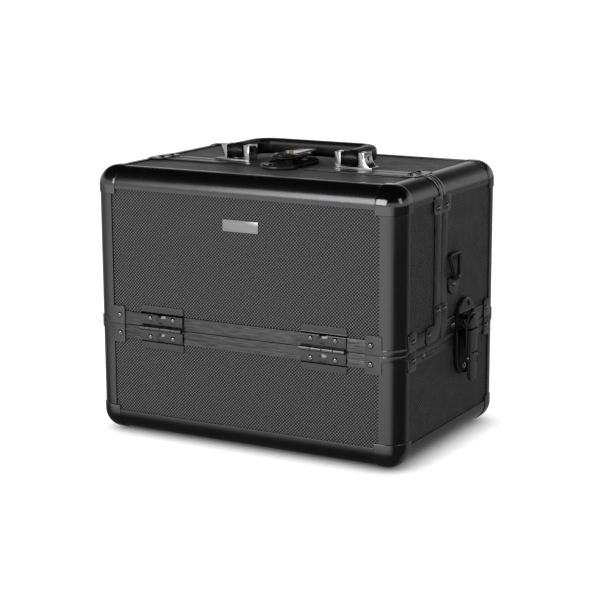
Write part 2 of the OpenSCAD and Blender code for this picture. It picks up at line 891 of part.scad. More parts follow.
// Plate with a hood that hides the end of the hook, and the catch under it.
module keeper(catch) {
    mid = keeper_h - latch_r;
    low = half_gap + 0.4;
    rotate([90, 0, 0]) translate([0, 0, -latch_t]) linear_extrude(latch_t) keeper_2d(latch_r, mid, low);
    intersection() {
        rotate([90, 0, 0]) translate([0, 0, -hood_out]) linear_extrude(hood_out) difference() {
            keeper_2d(latch_r, mid, low);
            keeper_2d(latch_r - latch_t, mid, low - 1);
        }
        from_side(2 * latch_r) polygon([[low, 0], [low, hood_out - 4], [mid, hood_out - 1.5],
            [hood_lip, hood_out], [hood_lip, 0]]);
    }
    difference() {
        hood(latch_r, 0);
        hood(latch_r - latch_t, latch_t);
    }
    translate([-5, 0, 10]) cube([10, catch, 2.5]);
}

module keeper_2d(r, mid, low) {
    difference() {
        union() {
            translate([0, mid]) circle(r = r);
            translate([-r, low]) square([2 * r, mid - low]);
        }
        translate([-r, low - 2 * r]) square([2 * r, 2 * r]);
    }
}

module hood(r, in) {
    mid = keeper_h - latch_r;
    intersection() {
        rotate([90, 0, 0]) translate([0, 0, -big / 2]) linear_extrude(big) keeper_2d(r, mid, 0);
        from_side(2 * r) polygon([[hood_lip - in * 2, 0], [hood_lip - in * 2, hood_out - in], [hood_lip + 1, hood_out - in],
            [keeper_h + 1 - 1.5 * in, latch_t], [keeper_h + 1 - 1.5 * in, 0]]);
    }
}

module keeper_rivet() {
    translate([0, latch_t, 5]) rotate([-90, 0, 0]) rivet(2.2, 1);
}

module side_latch_plates() {
    color(black) both_x() side_latch() latch_plate();
}

module side_latch_pins() {
    color(black) both_x() side_latch() latch_pin(-pivot_u, pivot_w, lever_w);
}

module side_latch_keepers() {
    color(black) both_x() side_latch() keeper(side_catch);
}

module top_latch_keeper() {
    color(black) keeper_top() keeper(top_catch);
}

module top_latch_plate() {
    color(black) keeper_top() latch_plate();
}

module top_latch_pin() {
    color(black) keeper_top() latch_pin(-pivot_u, pivot_w, lever_w);
}

module right_latch_lever() {
    color(black) side_latch() lever();
}

module left_latch_lever() {
    color(black) mirror([1, 0, 0]) side_latch() lever();
}

module right_latch_hook() {
    color(black) side_latch() hook(side_tongue);
}

module left_latch_hook() {
    color(black) mirror([1, 0, 0]) side_latch() hook(side_tongue);
}

module top_latch_lever() {
    color(black) keeper_top() lever();
}

module top_latch_hook() {
    color(black) keeper_top() hook(0);
}

// Key barrel seated on the top lever, with its keyway.
module lock_barrel() {
    color(brass) keeper_top() translate([0, lever_out, -lock_u]) rotate([-90, 0, 0]) difference() {
        cylinder(r = 4, h = 1.4);
        translate([-0.5, -2.2, 0.6]) cube([1, 4.4, 1]);
    }
}

// Handle: the pivot axis runs along X, the grip lies folded to the back.

module handle_at() {
    translate([0, split_y + handle_pivot_y, top_z + handle_pivot_h]) children();
}

module handle_bracket() {
    low = -handle_pivot_h;
    half = bracket_gap / 2;
    difference() {
        union() {
            for (x = [-half - ear_t, half]) translate([x, -bracket_d / 2, low]) cube([ear_t, bracket_d, ear_h]);
            translate([-half - ear_t, -bracket_d / 2, low]) cube([bracket_gap + 2 * ear_t, bracket_d, bracket_floor]);
            translate([half + ear_t, -bracket_d / 2, low]) ear_hollow();
        }
        rotate([0, 90, 0]) cylinder(r = handle_pin_r + fit, h = 3 * bracket_gap, center = true);
    }
}

// Foot of the outer ear, hollowed by a quarter round above a thin toe.
module ear_hollow() {
    rise = ear_h - ear_shy - ear_toe;
    rotate([90, 0, 0]) translate([0, 0, -bracket_d]) linear_extrude(bracket_d) difference() {
        square([ear_foot, rise + ear_toe]);
        translate([ear_foot, rise + ear_toe]) scale([1, rise / ear_foot]) circle(r = ear_foot);
    }
}

module handle_brackets() {
    color(bright) both_x() handle_at() translate([handle_x, 0, 0]) handle_bracket();
}

module handle_pins() {
    len = bracket_gap + 2 * ear_t;
    color(bright) both_x() handle_at() translate([handle_x, 0, 0]) rotate([0, 90, 0])
        cylinder(r = handle_pin_r, h = len, center = true);
}

module grip_2d() {
    translate([-handle_w / 2, -handle_t / 2]) rounded_2d(handle_w, handle_t, 6);
}

// Round ends on the pins, two arms, two bends and the straight grip.
module handle_grip() {
    straight = handle_x - handle_bend;
    arm = handle_reach - handle_bend;
    color(black) handle_at() {
        both_x() difference() {
            union() {
                translate([handle_x, 0, 0]) rotate([0, 90, 0])
                    cylinder(r = bush_r, h = handle_w, center = true);
                translate([handle_x, 0, 0]) rotate([-90, 0, 0]) linear_extrude(arm) grip_2d();
            }
            translate([handle_x, 0, 0]) rotate([0, 90, 0])
                cylinder(r = bush_bore, h = 2 * handle_w, center = true);
        }
        both_x() translate([straight, arm, 0]) rotate_extrude(angle = 90)
            translate([handle_bend, 0]) grip_2d();
        translate([-straight, handle_reach, 0]) along_x() linear_extrude(2 * straight) grip_2d();
    }
}

module handle_bushes() {
    color(satin) both_x() handle_at() translate([handle_x, 0, 0]) rotate([0, 90, 0]) difference() {
        union() {
            cylinder(r = bush_bore - fit, h = bracket_gap - 1, center = true);
            for (z = [-1, 1]) translate([0, 0, z * (bracket_gap / 2 - 1)])
                cylinder(r = bush_r - 1.5, h = 1, center = true);
        }
        cylinder(r = handle_pin_r + fit, h = 2 * bracket_gap, center = true);
    }
}

// Strap rings on the sides of the lid.

module ring_at() {
    translate([case_w / 2, split_y + ring_back, seam_z + ring_eye_h]) children();
}

module strap_ring_plates() {
    color(satin) both_x() ring_at() difference() {
        union() {
            translate([-skin_t, 0, -ring_drop]) along_x() linear_extrude(ring_plate_w) intersection() {
                circle(r = ring_plate_r);
                translate([-ring_plate_r, -ring_plate_r]) square([2 * ring_plate_r, ring_plate_r + ring_drop]);
            }
            translate([ring_out, 0, 0]) rotate([90, 0, 0])
                cylinder(r = ring_wire + latch_t, h = 2 * ring_eye, center = true);
            translate([-skin_t, -ring_eye, -ring_wire - latch_t])
                cube([ring_out + skin_t, 2 * ring_eye, latch_t]);
        }
        translate([ring_out, 0, 0]) rotate([90, 0, 0]) cylinder(r = ring_wire + fit, h = big, center = true);
    }
}

// Closed wire ring with a short lower bar in the eye and a long bar on top.
module strap_ring() {
    p = [[0, -ring_foot, 0], [0, ring_foot, 0], [ring_lean, ring_w / 2, ring_h], [ring_lean, -ring_w / 2, ring_h]];
    ring_at() translate([ring_out, 0, 0]) {
        for (i = [0:3]) wire(p[i], p[(i + 1) % 4]);
        for (q = p) translate(q) sphere(r = ring_wire + bend_swell);
    }
}

// A straight wire between two points.
module wire(a, b) {
    d = b - a;
    len = norm(d);
    translate(a) rotate([0, acos(d[2] / len), atan2(d[1], d[0])]) cylinder(r = ring_wire, h = len);
}

module right_strap_ring() {
    color(bright) strap_ring();
}

module left_strap_ring() {
    color(bright) mirror([1, 0, 0]) strap_ring();
}

// Trays and their link arms.

module tray(y_low, y_high, z_low, studs, holes) {
    difference() {
        translate([-tray_x, y_low, z_low]) cube([2 * tray_x, y_high - y_low, tray_h]);
        translate([-tray_x + tray_t, y_low + tray_t, z_low + tray_t])
            cube([2 * (tray_x - tray_t), y_high - y_low - 2 * tray_t, tray_h]);
        for (p = studs) translate([0, p[0], p[1]]) rotate([0, 90, 0])
            cylinder(r = link_r + fit, h = big, center = true);
    }
    both_x() for (p = holes) translate([tray_x, p[0], p[1]]) rotate([0, 90, 0])
        cylinder(r = link_r, h = arm_x - tray_x + arm_t);
}

module front_tray() {
    color(lining_grey) tray(front_pivot[0] - tray_over, front_link[0] + tray_lap,
        front_pivot[1] - tray_pivot_h, [front_pivot], [front_link]);
}

module rear_lower_tray() {
    color(lining_grey) tray(upper_link[0] - tray_lap, lower_pivot[0] + tray_over,
        lower_pivot[1] - tray_pivot_h, [lower_pivot], [lower_link]);
}

module rear_upper_tray() {
    color(lining_grey) tray(upper_link[0] - tray_lap, lower_pivot[0] + tray_over,
        upper_pivot[1] - tray_pivot_h, [upper_pivot], [upper_link]);
}

// A flat strip with round ends, bored at the base pivot and at each tray.
module link_arm(from, to, holes) {
    d = to - from;
    len = norm(d);
    both_x() difference() {
        translate([arm_x, from[0], from[1]]) rotate([atan2(d[1], d[0]), 0, 0]) along_x() linear_extrude(arm_t) {
            translate([0, -arm_r]) square([len, 2 * arm_r]);
            for (x = [0, len]) translate([x, 0]) circle(r = arm_r);
        }
        for (p = concat([from], holes)) translate([arm_x, p[0], p[1]]) rotate([0, 90, 0])
            cylinder(r = link_r + fit, h = 4 * arm_t, center = true);
    }
}

module front_tray_arms() {
    color(bright) link_arm([front_arm_y, arm_z], front_link, [front_link]);
}

module rear_tray_arms() {
    color(bright) link_arm([rear_arm_y, arm_z], upper_link, [lower_link, upper_link]);
}

base_front_panel();
base_rear_panel();
base_side_panels();
base_floor();
base_edges();
base_corner_caps();
base_rim();
base_corner_clips();
base_rivets();
base_feet();
base_lining();
base_hinge_leaves();
hinge_pins();
side_latch_plates();
side_latch_pins();
door_front_panel();
door_top_panel();
door_side_panels();
door_edges();
door_corner_caps();
door_rim();
door_clips();
door_rivets();
door_lining();
door_hinge_leaves();
top_latch_keeper();
nameplate();
lid_rear_panel();
lid_top_panel();
lid_side_panels();
lid_edges();
lid_corner_caps();
lid_rim();
lid_clips();
lid_rivets();
lid_lining();
lid_hinge_leaves();
side_latch_keepers();
top_latch_plate();
top_latch_pin();
handle_brackets();
handle_pins();
strap_ring_plates();
handle_grip();
handle_bushes();
left_strap_ring();
right_strap_ring();
left_latch_lever();
left_latch_hook();
right_latch_lever();
right_latch_hook();
top_latch_lever();
top_latch_hook();
lock_barrel();
front_tray();
front_tray_arms();
rear_lower_tray();
rear_upper_tray();
rear_tray_arms();
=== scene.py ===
# %% [markdown]
# A hard makeup case: black aluminium edges around mesh-faced panels, a door in
# front, a lid behind, draw latches and a folding handle. The solid model comes
# first and stays put; each later step dresses one piece of it. All lengths are
# metres here, and the model's own millimetres are turned into them by MM.

# %% Load the frame
import json

import bmesh
import bpy
import numpy as np
from mathutils import Matrix

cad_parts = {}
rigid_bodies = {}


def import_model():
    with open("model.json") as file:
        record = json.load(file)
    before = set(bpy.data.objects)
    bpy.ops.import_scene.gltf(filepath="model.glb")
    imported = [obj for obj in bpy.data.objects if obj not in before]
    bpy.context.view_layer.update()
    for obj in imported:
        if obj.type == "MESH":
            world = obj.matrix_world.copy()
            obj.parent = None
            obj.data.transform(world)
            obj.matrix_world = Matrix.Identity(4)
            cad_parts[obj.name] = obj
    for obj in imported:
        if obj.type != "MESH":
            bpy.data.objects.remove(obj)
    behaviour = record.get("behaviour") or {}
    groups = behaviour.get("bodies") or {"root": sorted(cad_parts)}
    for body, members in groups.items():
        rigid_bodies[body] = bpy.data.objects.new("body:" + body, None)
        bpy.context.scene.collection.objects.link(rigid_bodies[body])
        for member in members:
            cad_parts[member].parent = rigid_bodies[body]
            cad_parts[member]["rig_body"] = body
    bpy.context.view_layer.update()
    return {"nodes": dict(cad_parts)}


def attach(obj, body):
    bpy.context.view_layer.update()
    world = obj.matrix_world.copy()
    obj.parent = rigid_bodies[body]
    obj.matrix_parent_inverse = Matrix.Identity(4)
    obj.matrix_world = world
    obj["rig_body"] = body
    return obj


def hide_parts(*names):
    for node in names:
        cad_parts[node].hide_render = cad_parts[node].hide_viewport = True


MM = 0.001
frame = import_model()
nodes = frame["nodes"]

# %% [markdown]
# The camera stands where the picture was taken: nearly two metres away, to the
# right and a little above. A long lens keeps the upright edges almost parallel.
# Its place came from matching the corners of the box, so the case fills the
# frame as it should and no piece needs to be moved to fit a picture.


# %% Camera
def unit(v):
    """A vector of length one: v divided by its own length."""
    return np.asarray(v, float) / np.linalg.norm(v)


def stand(thing, where, right, up, back):
    """Puts a thing in the scene; its own X, Y and Z point right, up and back."""
    turn = Matrix(np.column_stack([right, up, back]).tolist())
    thing.matrix_world = Matrix.Translation(where) @ turn.to_4x4()
    bpy.context.scene.collection.objects.link(thing)
    return thing


def look(eye, forward, upward, lens):
    """A camera at eye; upward is made square to the view before it is used."""
    camera = bpy.data.objects.new("camera", bpy.data.cameras.new("camera"))
    back = -unit(forward)
    up = unit(upward - back * np.dot(upward, back))
    camera.data.lens = lens
    camera.data.sensor_width = SENSOR
    camera.data.clip_end = FARTHEST
    bpy.context.scene.camera = stand(camera, eye, np.cross(up, back), up, back)


EYE = np.array([899.7, -1619.7, 536.6]) * MM
FORWARD = np.array([-0.47402, 0.85506, -0.21020])
UPWARD = np.array([-0.09826, 0.18586, 0.97765])
LENS, SENSOR = 105.1, 36.0  # both in millimetres, as is usual for lenses
FARTHEST = 60.0  # metres
look(EYE, FORWARD, UPWARD, LENS)
print("camera stands", round(float(np.linalg.norm(EYE)), 2), "m from the feet")

# %% [markdown]
# A product table: a flat white floor that fills every view, a large soft lamp
# in front, a little to the left, and a weak one at the right. Black gloss shows
# nothing but its surroundings, so where a lamp stands and how large it is
# matter more than its strength. Later shapes built from points are made by
# surface() too.


# %% Studio
def surface(name, verts, faces):
    """A mesh object from an array of points (n, 3) and an array of faces."""
    mesh = bpy.data.meshes.new(name)
    mesh.from_pydata(np.asarray(verts, float).tolist(), [], [list(face) for face in faces])
    mesh.validate()
    mesh.polygons.foreach_set("use_smooth", [True] * len(mesh.polygons))
    made = bpy.data.objects.new(name, mesh)
    bpy.context.scene.collection.objects.link(made)
    return made


def grid_faces(rows, cols, close_rows=False, close_cols=False):
    """Quads of a rows x cols grid of points, wrapped round where asked."""
    i = np.arange(rows if close_rows else rows - 1)[:, None]
    j = np.arange(cols if close_cols else cols - 1)[None, :]
    a = i * cols + j
    b = i * cols + (j + 1) % cols
    c = (i + 1) % rows * cols + (j + 1) % cols
    d = (i + 1) % rows * cols + j
    return np.stack([a, b, c, d], -1).reshape(-1, 4)


def lay_floor(half):
    """A flat square of floor; half is the distance from its middle to a side."""
    x, y = np.meshgrid([-half, half], [-half, half])
    points = np.stack([x.ravel(), y.ravel(), np.zeros(4)], -1)
    floor = surface("floor", points, grid_faces(2, 2))
    return floor


def lamp(name, where, size, watts):
    """An area lamp whose face looks at the middle of the case."""
    data = bpy.data.lights.new(name, "AREA")
    data.shape = "RECTANGLE"
    data.size, data.size_y = size
    data.energy = watts
    back = unit(np.array(where) - np.array(MIDDLE))
    side = unit(np.cross([0, 0, 1.0], back))
    return stand(bpy.data.objects.new(name, data), where, side, np.cross(back, side), back)


MIDDLE = (0.0, 0.0, 0.14)
floor = lay_floor(half=14.0)
lamp("key", (-0.6, -2.45, 1.15), (1.6, 1.2), 34)
lamp("right", (2.4, -0.3, 1.3), (0.7, 1.0), 5)

# %% [markdown]
# Every finish is a small tree of nodes around one Principled shader. Numbers
# that are the same all over sit on the shader itself; only what changes over
# the surface (grain, smudges, the embossed mesh) comes in through a link. The
# patterns read Object coordinates, so they keep their real size in metres.


# %% Finish helpers
def feed(tree, socket, value):
    """Sets an input to a value, or links it to another node's output."""
    if isinstance(value, bpy.types.NodeSocket):
        tree.links.new(value, socket)
    else:
        socket.default_value = value


def wired(tree, kind, **inputs):
    """A new node of a kind; its inputs go by name, with _ for a blank."""
    made = tree.nodes.new("ShaderNode" + kind)
    for name, value in inputs.items():
        feed(tree, made.inputs[name.replace("_", " ")], value)
    return made


def finish(name, colour, metallic=0.0, roughness=0.4, **more):
    """A material with one Principled shader; returns it with its tree and shader."""
    material = bpy.data.materials.new(name)
    material.use_nodes = True
    tree = material.node_tree
    shader = tree.nodes["Principled BSDF"]
    more.update(Base_Color=(*colour, 1), Metallic=metallic, Roughness=roughness)
    for key, value in more.items():
        shader.inputs[key.replace("_", " ")].default_value = value
    return material, tree, shader


def sums(tree, kind, *terms):
    """One Math node; each term is a number or a socket."""
    made = wired(tree, "Math")
    made.operation = kind
    for socket, value in zip(made.inputs, terms):
        feed(tree, socket, value)
    return made.outputs[0]


def place(tree, stretch=(1.0, 1.0, 1.0)):
    """Object coordinates in metres, each stretched by a factor."""
    here = wired(tree, "TexCoord").outputs["Object"]
    return wired(tree, "Mapping", Vector=here, Scale=stretch).outputs[0]


def split(tree, vector):
    """The three coordinates of a vector, to be taken by name."""
    return wired(tree, "SeparateXYZ", Vector=vector).outputs


# %% [markdown]
# A pattern is a number that changes over the surface. Cloudy noise is carried to
# the range that a finish needs, chooses between two tones of a colour, or works
# as a height that bends the light. Noise is enough for all the metal and the
# cloth, because real wear has no repeat either.


# %% Patterns
def noise(tree, vector, scale, detail=3.0, roughness=0.55):
    """Cloudy noise from 0 to 1; scale is in cycles per metre."""
    return wired(tree, "TexNoise", Vector=vector, Scale=scale, Detail=detail,
                Roughness=roughness).outputs["Fac"]


def span(tree, value, low, high, start=0.3, end=0.7):
    """Carries value from start..end to low..high, held at both ends."""
    return wired(tree, "MapRange", Value=value, From_Min=start, From_Max=end,
                To_Min=low, To_Max=high).outputs[0]


def tones(tree, value, dark, light):
    """A colour between dark and light, chosen by value from 0 to 1."""
    ramp = wired(tree, "ValToRGB", Fac=value)
    for element, colour in zip(ramp.color_ramp.elements, (dark, light)):
        element.color = (*colour, 1)
    return ramp.outputs[0]


def relief(tree, shader, height, depth):
    """Turns a height from 0 to 1 into bumps of the given depth in metres."""
    bump = wired(tree, "Bump", Strength=1.0, Distance=depth, Height=height)
    tree.links.new(bump.outputs[0], shader.inputs["Normal"])


def layered(tree, shown, layers):
    """Lays shaders over a first one; a layer is (its share, its shader)."""
    for share, layer in layers:
        mix = wired(tree, "MixShader")
        for socket, value in zip(mix.inputs, (share, shown.outputs[0], layer.outputs[0])):
            feed(tree, socket, value)
        shown = mix
    return shown.outputs[0]


print("pattern helpers", [helper.__name__ for helper in (noise, span, tones, relief, layered)])

# %% [markdown]
# The panels are thin sheet with an embossed mesh: two sets of fine grooves cross
# at 45 degrees, 3.5 mm apart along the sheet, and leave small raised diamonds.
# Modelling them would take a million faces, and the eye reads them as texture,
# so they are a repeating height, and their grooves are painted near black as
# painted shade. Each side needs its own pair of directions.


# %% Mesh panels
MESH_PITCH, MESH_DEPTH = 3.5 * MM, 0.3 * MM
FLANK = {"start": 0.12, "end": 0.22}  # from a groove's bottom, as shares of the pitch
# The grooves are painted near black: painted shade in the recesses, not the sheet's colour.
GROOVE_PAINTED_SHADE = (0.001, 0.001, 0.001)


def mesh_panel(name, across, up, crest=0.12):
    """Height 0 where (across +- up) / pitch is near a whole number, else 1.

    crest is how light the diamonds are; the grooves between them are painted black, as painted
    shade.
    """
    material, tree, shader = finish(
        name, (0.05, 0.05, 0.052), roughness=0.45, Specular_IOR_Level=0.2)
    here = split(tree, place(tree))
    ridges = []
    for kind in ("ADD", "SUBTRACT"):
        slant = sums(tree, kind, here[across], here[up])
        run = sums(tree, "MULTIPLY", slant, 1 / MESH_PITCH)
        wave = sums(tree, "PINGPONG", run, 0.5)
        ridges.append(span(tree, wave, 0.0, 1.0, **FLANK))
    height = sums(tree, "MULTIPLY", *ridges)
    dust = noise(tree, place(tree), 60.0)
    # The grooves get the painted shade, the diamonds the crest tone.
    colour = tones(tree, height, GROOVE_PAINTED_SHADE, (crest, crest, 1.02 * crest))
    tree.links.new(colour, shader.inputs["Base Color"])
    tree.links.new(span(tree, dust, 0.4, 0.55), shader.inputs["Roughness"])
    relief(tree, shader, height, MESH_DEPTH)
    return material


panel_front = mesh_panel("mesh-front", "X", "Z")
panel_side = mesh_panel("mesh-side", "Y", "Z")
# The top's diamonds are painted lighter than those of the front and sides: painted light from
# above.
panel_top = mesh_panel("mesh-top", "X", "Y", crest=0.17)
print("mesh", round(MESH_PITCH / MM, 1), "mm from groove to groove")

# %% [markdown]
# Black anodised aluminium is drawn through a die, so it carries long faint
# lines, and it is glossy where the die was smooth. Noise that is stretched
# along one axis gives those lines; a slower cloud varies the gloss, as hands
# and dust do on a real case.


# %% Drawn and moulded finishes
def swing(tree, shader, value, colour, less, more):
    """Lets the colour swing between less and more of itself, as value says."""
    dark, light = (tuple(share * c for c in colour) for share in (less, more))
    tree.links.new(tones(tree, value, dark, light), shader.inputs["Base Color"])


def drawn(name, colour, along, rough=(0.18, 0.26), lines=1300.0, depth=0.0005,
          reach=0.01, contrast=0.06):
    """Fine lines along one axis and a slow cloud in the gloss.

    lines are counted per metre and depth is in millimetres. reach stretches the
    noise along the lines, as a factor of its scale; contrast is how far the
    colour swings to each side.
    """
    material, tree, shader = finish(name, colour, 1.0, sum(rough) / 2)
    stretch = [1.0, 1.0, 1.0]
    stretch["XYZ".index(along)] = reach
    streaks = noise(tree, place(tree, stretch), lines, detail=2.0)
    smudge = noise(tree, place(tree), 22.0)
    blend = sums(tree, "ADD", sums(tree, "MULTIPLY", streaks, 0.4),
                 sums(tree, "MULTIPLY", smudge, 0.6))
    tree.links.new(span(tree, blend, *rough), shader.inputs["Roughness"])
    sharp = span(tree, streaks, 0.0, 1.0)
    swing(tree, shader, sharp, colour, 1 - contrast, 1 + contrast)
    relief(tree, shader, streaks, depth * MM)
    return material


def moulded(name, colour, rough, grain=2500.0, depth=0.01, metallic=0.0, **more):
    """Even fine grain, depth millimetres deep, and a slow cloud in the gloss."""
    material, tree, shader = finish(name, colour, metallic, sum(rough) / 2, **more)
    fine = noise(tree, place(tree), grain, detail=2.0)
    smudge = noise(tree, place(tree), 30.0)
    tree.links.new(span(tree, smudge, *rough), shader.inputs["Roughness"])
    swing(tree, shader, smudge, colour, 0.88, 1.12)
    relief(tree, shader, fine, depth * MM)
    return material


# %% [markdown]
# Each kind of metal gets its colour, the range of its roughness and the depth of
# its grain. Black metal is still metal: its colour is how much it mirrors, so
# the bright plate mirrors three times as much as the edges. The long bars need
# one finish for each axis, because drawn lines follow the bar.

# %% Metals
edge_x, edge_y, edge_z = (
    drawn("edge-along-" + way.lower(), (0.08, 0.08, 0.082), way) for way in "XYZ"
)
rim_x, rim_y, rim_z = (
    drawn("rim-along-" + way.lower(), (0.076, 0.076, 0.078), way, rough=(0.22, 0.38),
          lines=1100.0, depth=0.012, reach=0.06, contrast=0.45)
    for way in "XYZ"
)
gunmetal = drawn("gunmetal", (0.068, 0.068, 0.07), "X", (0.13, 0.2), lines=1600.0, depth=0.003)
bright_plate = drawn("plate-bright", (0.24, 0.24, 0.245), "X", (0.2, 0.32))
bright_steel = drawn("steel-bright", (0.38, 0.38, 0.385), "Z", (0.1, 0.18))

METAL = {"metallic": 1.0}
cap_black = moulded("cap-black", (0.1, 0.1, 0.103), (0.1, 0.17), depth=0.001, **METAL)
clip_black = moulded("clip-black", (0.085, 0.085, 0.087), (0.2, 0.3), depth=0.003, **METAL)
knuckle_black = moulded("knuckle-black", (0.12, 0.12, 0.122), (0.2, 0.28), depth=0.002, **METAL)
rivet_black = moulded("rivet-black", (0.15, 0.15, 0.153), (0.1, 0.16), depth=0.001, **METAL)
latch_lip = moulded("latch-lip", (0.16, 0.16, 0.163), (0.15, 0.25), depth=0.002, **METAL)
brass = moulded("lock-brass", (0.55, 0.38, 0.14), (0.25, 0.38), **METAL)
screw_steel = moulded("screw-steel", (0.6, 0.6, 0.61), (0.15, 0.25), depth=0.002, metallic=0.8)
print("metals", len(bpy.data.materials))

# %% [markdown]
# Lacquer, plastic and rubber are no metals: they have a dark colour of their own
# and a weak mirror on top, which the specular level sets. The lining is velvet,
# whose pile shines at its edges, so it gets the shader's sheen.

# %% Lacquer, rubber and velvet
latch_black = moulded("latch-black", (0.012, 0.012, 0.013), (0.2, 0.3), Specular_IOR_Level=0.35)
# The latch lacquer made near black and nearly matt: painted shade for the parts that lie under
# the lever and behind the bail.
latch_painted_shade = moulded("latch-painted-shade", (0.003, 0.003, 0.003), (0.35, 0.5), Specular_IOR_Level=0.05)
ring_black = moulded("ring-black", (0.01, 0.01, 0.011), (0.25, 0.38), Specular_IOR_Level=0.3)
grip_black = moulded("grip-black", (0.006, 0.006, 0.0065), (0.26, 0.4), depth=0.015,
                     Specular_IOR_Level=0.28)
bush_black = moulded("bush-black", (0.02, 0.02, 0.021), (0.35, 0.5))
rubber = moulded("foot-rubber", (0.015, 0.015, 0.015), (0.6, 0.75), depth=0.04)
tray_black = moulded("tray-black", (0.05, 0.05, 0.052), (0.45, 0.6), grain=1800.0, depth=0.05)


def velvet(name, colour):
    """Short pile: soft sheen on the shader, and a fine speckled height."""
    material, tree, shader = finish(
        name, colour, roughness=0.9, Sheen_Weight=0.6, Sheen_Roughness=0.35)
    pile = noise(tree, place(tree), 3500.0, roughness=0.8)
    nap = noise(tree, place(tree), 12.0)
    swing(tree, shader, nap, colour, 0.7, 1.35)
    relief(tree, shader, pile, 0.25 * MM)
    return material


lining_velvet = velvet("lining-velvet", (0.045, 0.045, 0.047))
print("finishes", len(bpy.data.materials))

# %% [markdown]
# The frame's own pieces keep their shapes and only change their finish. Each
# one has material slots, and giving a slot a new finish is all that is needed.

# %% Dress the frame
WORN = (
    (panel_front, "base_front_panel base_rear_panel door_front_panel lid_rear_panel"),
    (panel_side, "base_side_panels door_side_panels lid_side_panels"),
    (panel_top, "base_floor door_top_panel lid_top_panel"),
    (edge_z, "base_edges"),
    (edge_x, "door_edges lid_edges"),
    (cap_black, "base_corner_caps door_corner_caps lid_corner_caps"),
    (rim_x, "base_rim door_rim lid_rim"),
    (clip_black, "base_corner_clips door_clips lid_clips"),
    (rivet_black, "base_rivets door_rivets lid_rivets top_latch_pin"),
    (gunmetal, "base_hinge_leaves door_hinge_leaves lid_hinge_leaves hinge_pins"),
    (lining_velvet, "base_lining door_lining lid_lining"),
    (tray_black, "front_tray rear_lower_tray rear_upper_tray"),
    (latch_black, "side_latch_plates side_latch_keepers top_latch_plate top_latch_keeper "
                  "left_latch_lever right_latch_lever top_latch_lever "
                  "left_latch_hook right_latch_hook"),
    # The pins inside the levers wear the painted shade too.
    (latch_painted_shade, "side_latch_pins"),
    (bright_steel, "handle_brackets handle_pins front_tray_arms rear_tray_arms top_latch_hook"),
    (bright_plate, "nameplate"),
    (ring_black, "left_strap_ring right_strap_ring strap_ring_plates"),
    (grip_black, "handle_grip"),
    (bush_black, "handle_bushes"),
    (brass, "lock_barrel"),
    (rubber, "base_feet"),
)
WEAR = {node_name: chosen for chosen, names in WORN for node_name in names.split()}


def wear(node, material):
    """Gives every material slot of a frame piece the same finish."""
    data = nodes[node].data
    if not data.materials:
        data.materials.append(material)
    for i in range(len(data.materials)):
        data.materials[i] = material


for node_name, chosen in WEAR.items():
    wear(node_name, chosen)
print("undressed", sorted(set(nodes) - set(WEAR)))

# %% [markdown]
# A piece made here stands for one of the frame's pieces: it hides that piece,
# takes over its body, so that it moves with the right joint, and wears its
# finish. New finishes reset the numbers that say which face wears which, so
# these numbers are read before and written back after.


# %% Standing in
def dress(piece, finishes):
    """Gives a piece new finishes and keeps which face wears which of them."""
    worn = np.empty(len(piece.data.polygons), np.int32)
    piece.data.polygons.foreach_get("material_index", worn)
    piece.data.materials.clear()
    for material in finishes:
        piece.data.materials.append(material)
    piece.data.polygons.foreach_set("material_index", worn)


def stand_for(piece, node, finishes=()):
    """Puts a piece in a frame piece's stead: its finishes and its body."""
    dress(piece, finishes or [WEAR[node]])
    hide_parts(node)
    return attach(piece, nodes[node]["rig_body"])


# %% [markdown]
# Pressed and extruded parts never have knife edges, and the thin bright lines
# that outline them in a photograph come from their tiny rounds. Drawing each
# round would hide the shape in code, so a merged copy of the frame piece gets
# one Bevel of the real size, and stands in for the piece it was copied from.


# %% Softened copies
CREASE = 0.6  # radians, about 34 degrees: a sharper turn than this is an edge
FLAT = 0.01  # radians: faces that turn by less than this become one
MERGE = 1e-6  # metres: points nearer than this become one


def rounding(made, width):
    """Rounds every edge that turns by more than CREASE."""
    round_off = made.modifiers.new("round", "BEVEL")
    round_off.width = width
    round_off.segments = 2
    round_off.limit_method = "ANGLE"
    round_off.angle_limit = CREASE
    round_off.harden_normals = True
    return made


def softened(node, width):
    """A copy of a frame piece, merged, its flat faces joined, its edges rounded."""
    mesh = nodes[node].data.copy()
    mesh.name = node + "-soft"
    shape = bmesh.new()
    shape.from_mesh(mesh)
    bmesh.ops.remove_doubles(shape, verts=shape.verts, dist=MERGE)
    bmesh.ops.dissolve_limit(shape, angle_limit=FLAT, verts=shape.verts, edges=shape.edges)
    shape.to_mesh(mesh)
    shape.free()
    mesh.polygons.foreach_set("use_smooth", [True] * len(mesh.polygons))
    made = bpy.data.objects.new(node + "-soft", mesh)
    bpy.context.scene.collection.objects.link(made)
    return stand_for(rounding(made, width), node)


def by_direction(made):
    """Gives each face of a set of bars the finish whose lines run along it.

    Bars on the side walls (|x| over SIDE_WALL) run along Y, or along Z where
    they stand between the two heights of UPRIGHT; all the others run along X.
    """
    mesh = made.data
    middle = np.empty(len(mesh.polygons) * 3)
    mesh.polygons.foreach_get("center", middle)
    x, _, z = np.abs(middle.reshape(-1, 3).T)
    upright = (z > UPRIGHT[0]) & (z < UPRIGHT[1])
    index = np.where(x > SIDE_WALL, np.where(upright, 2, 1), 0)
    mesh.polygons.foreach_set("material_index", index)
    dress(made, (rim_x, rim_y, rim_z))


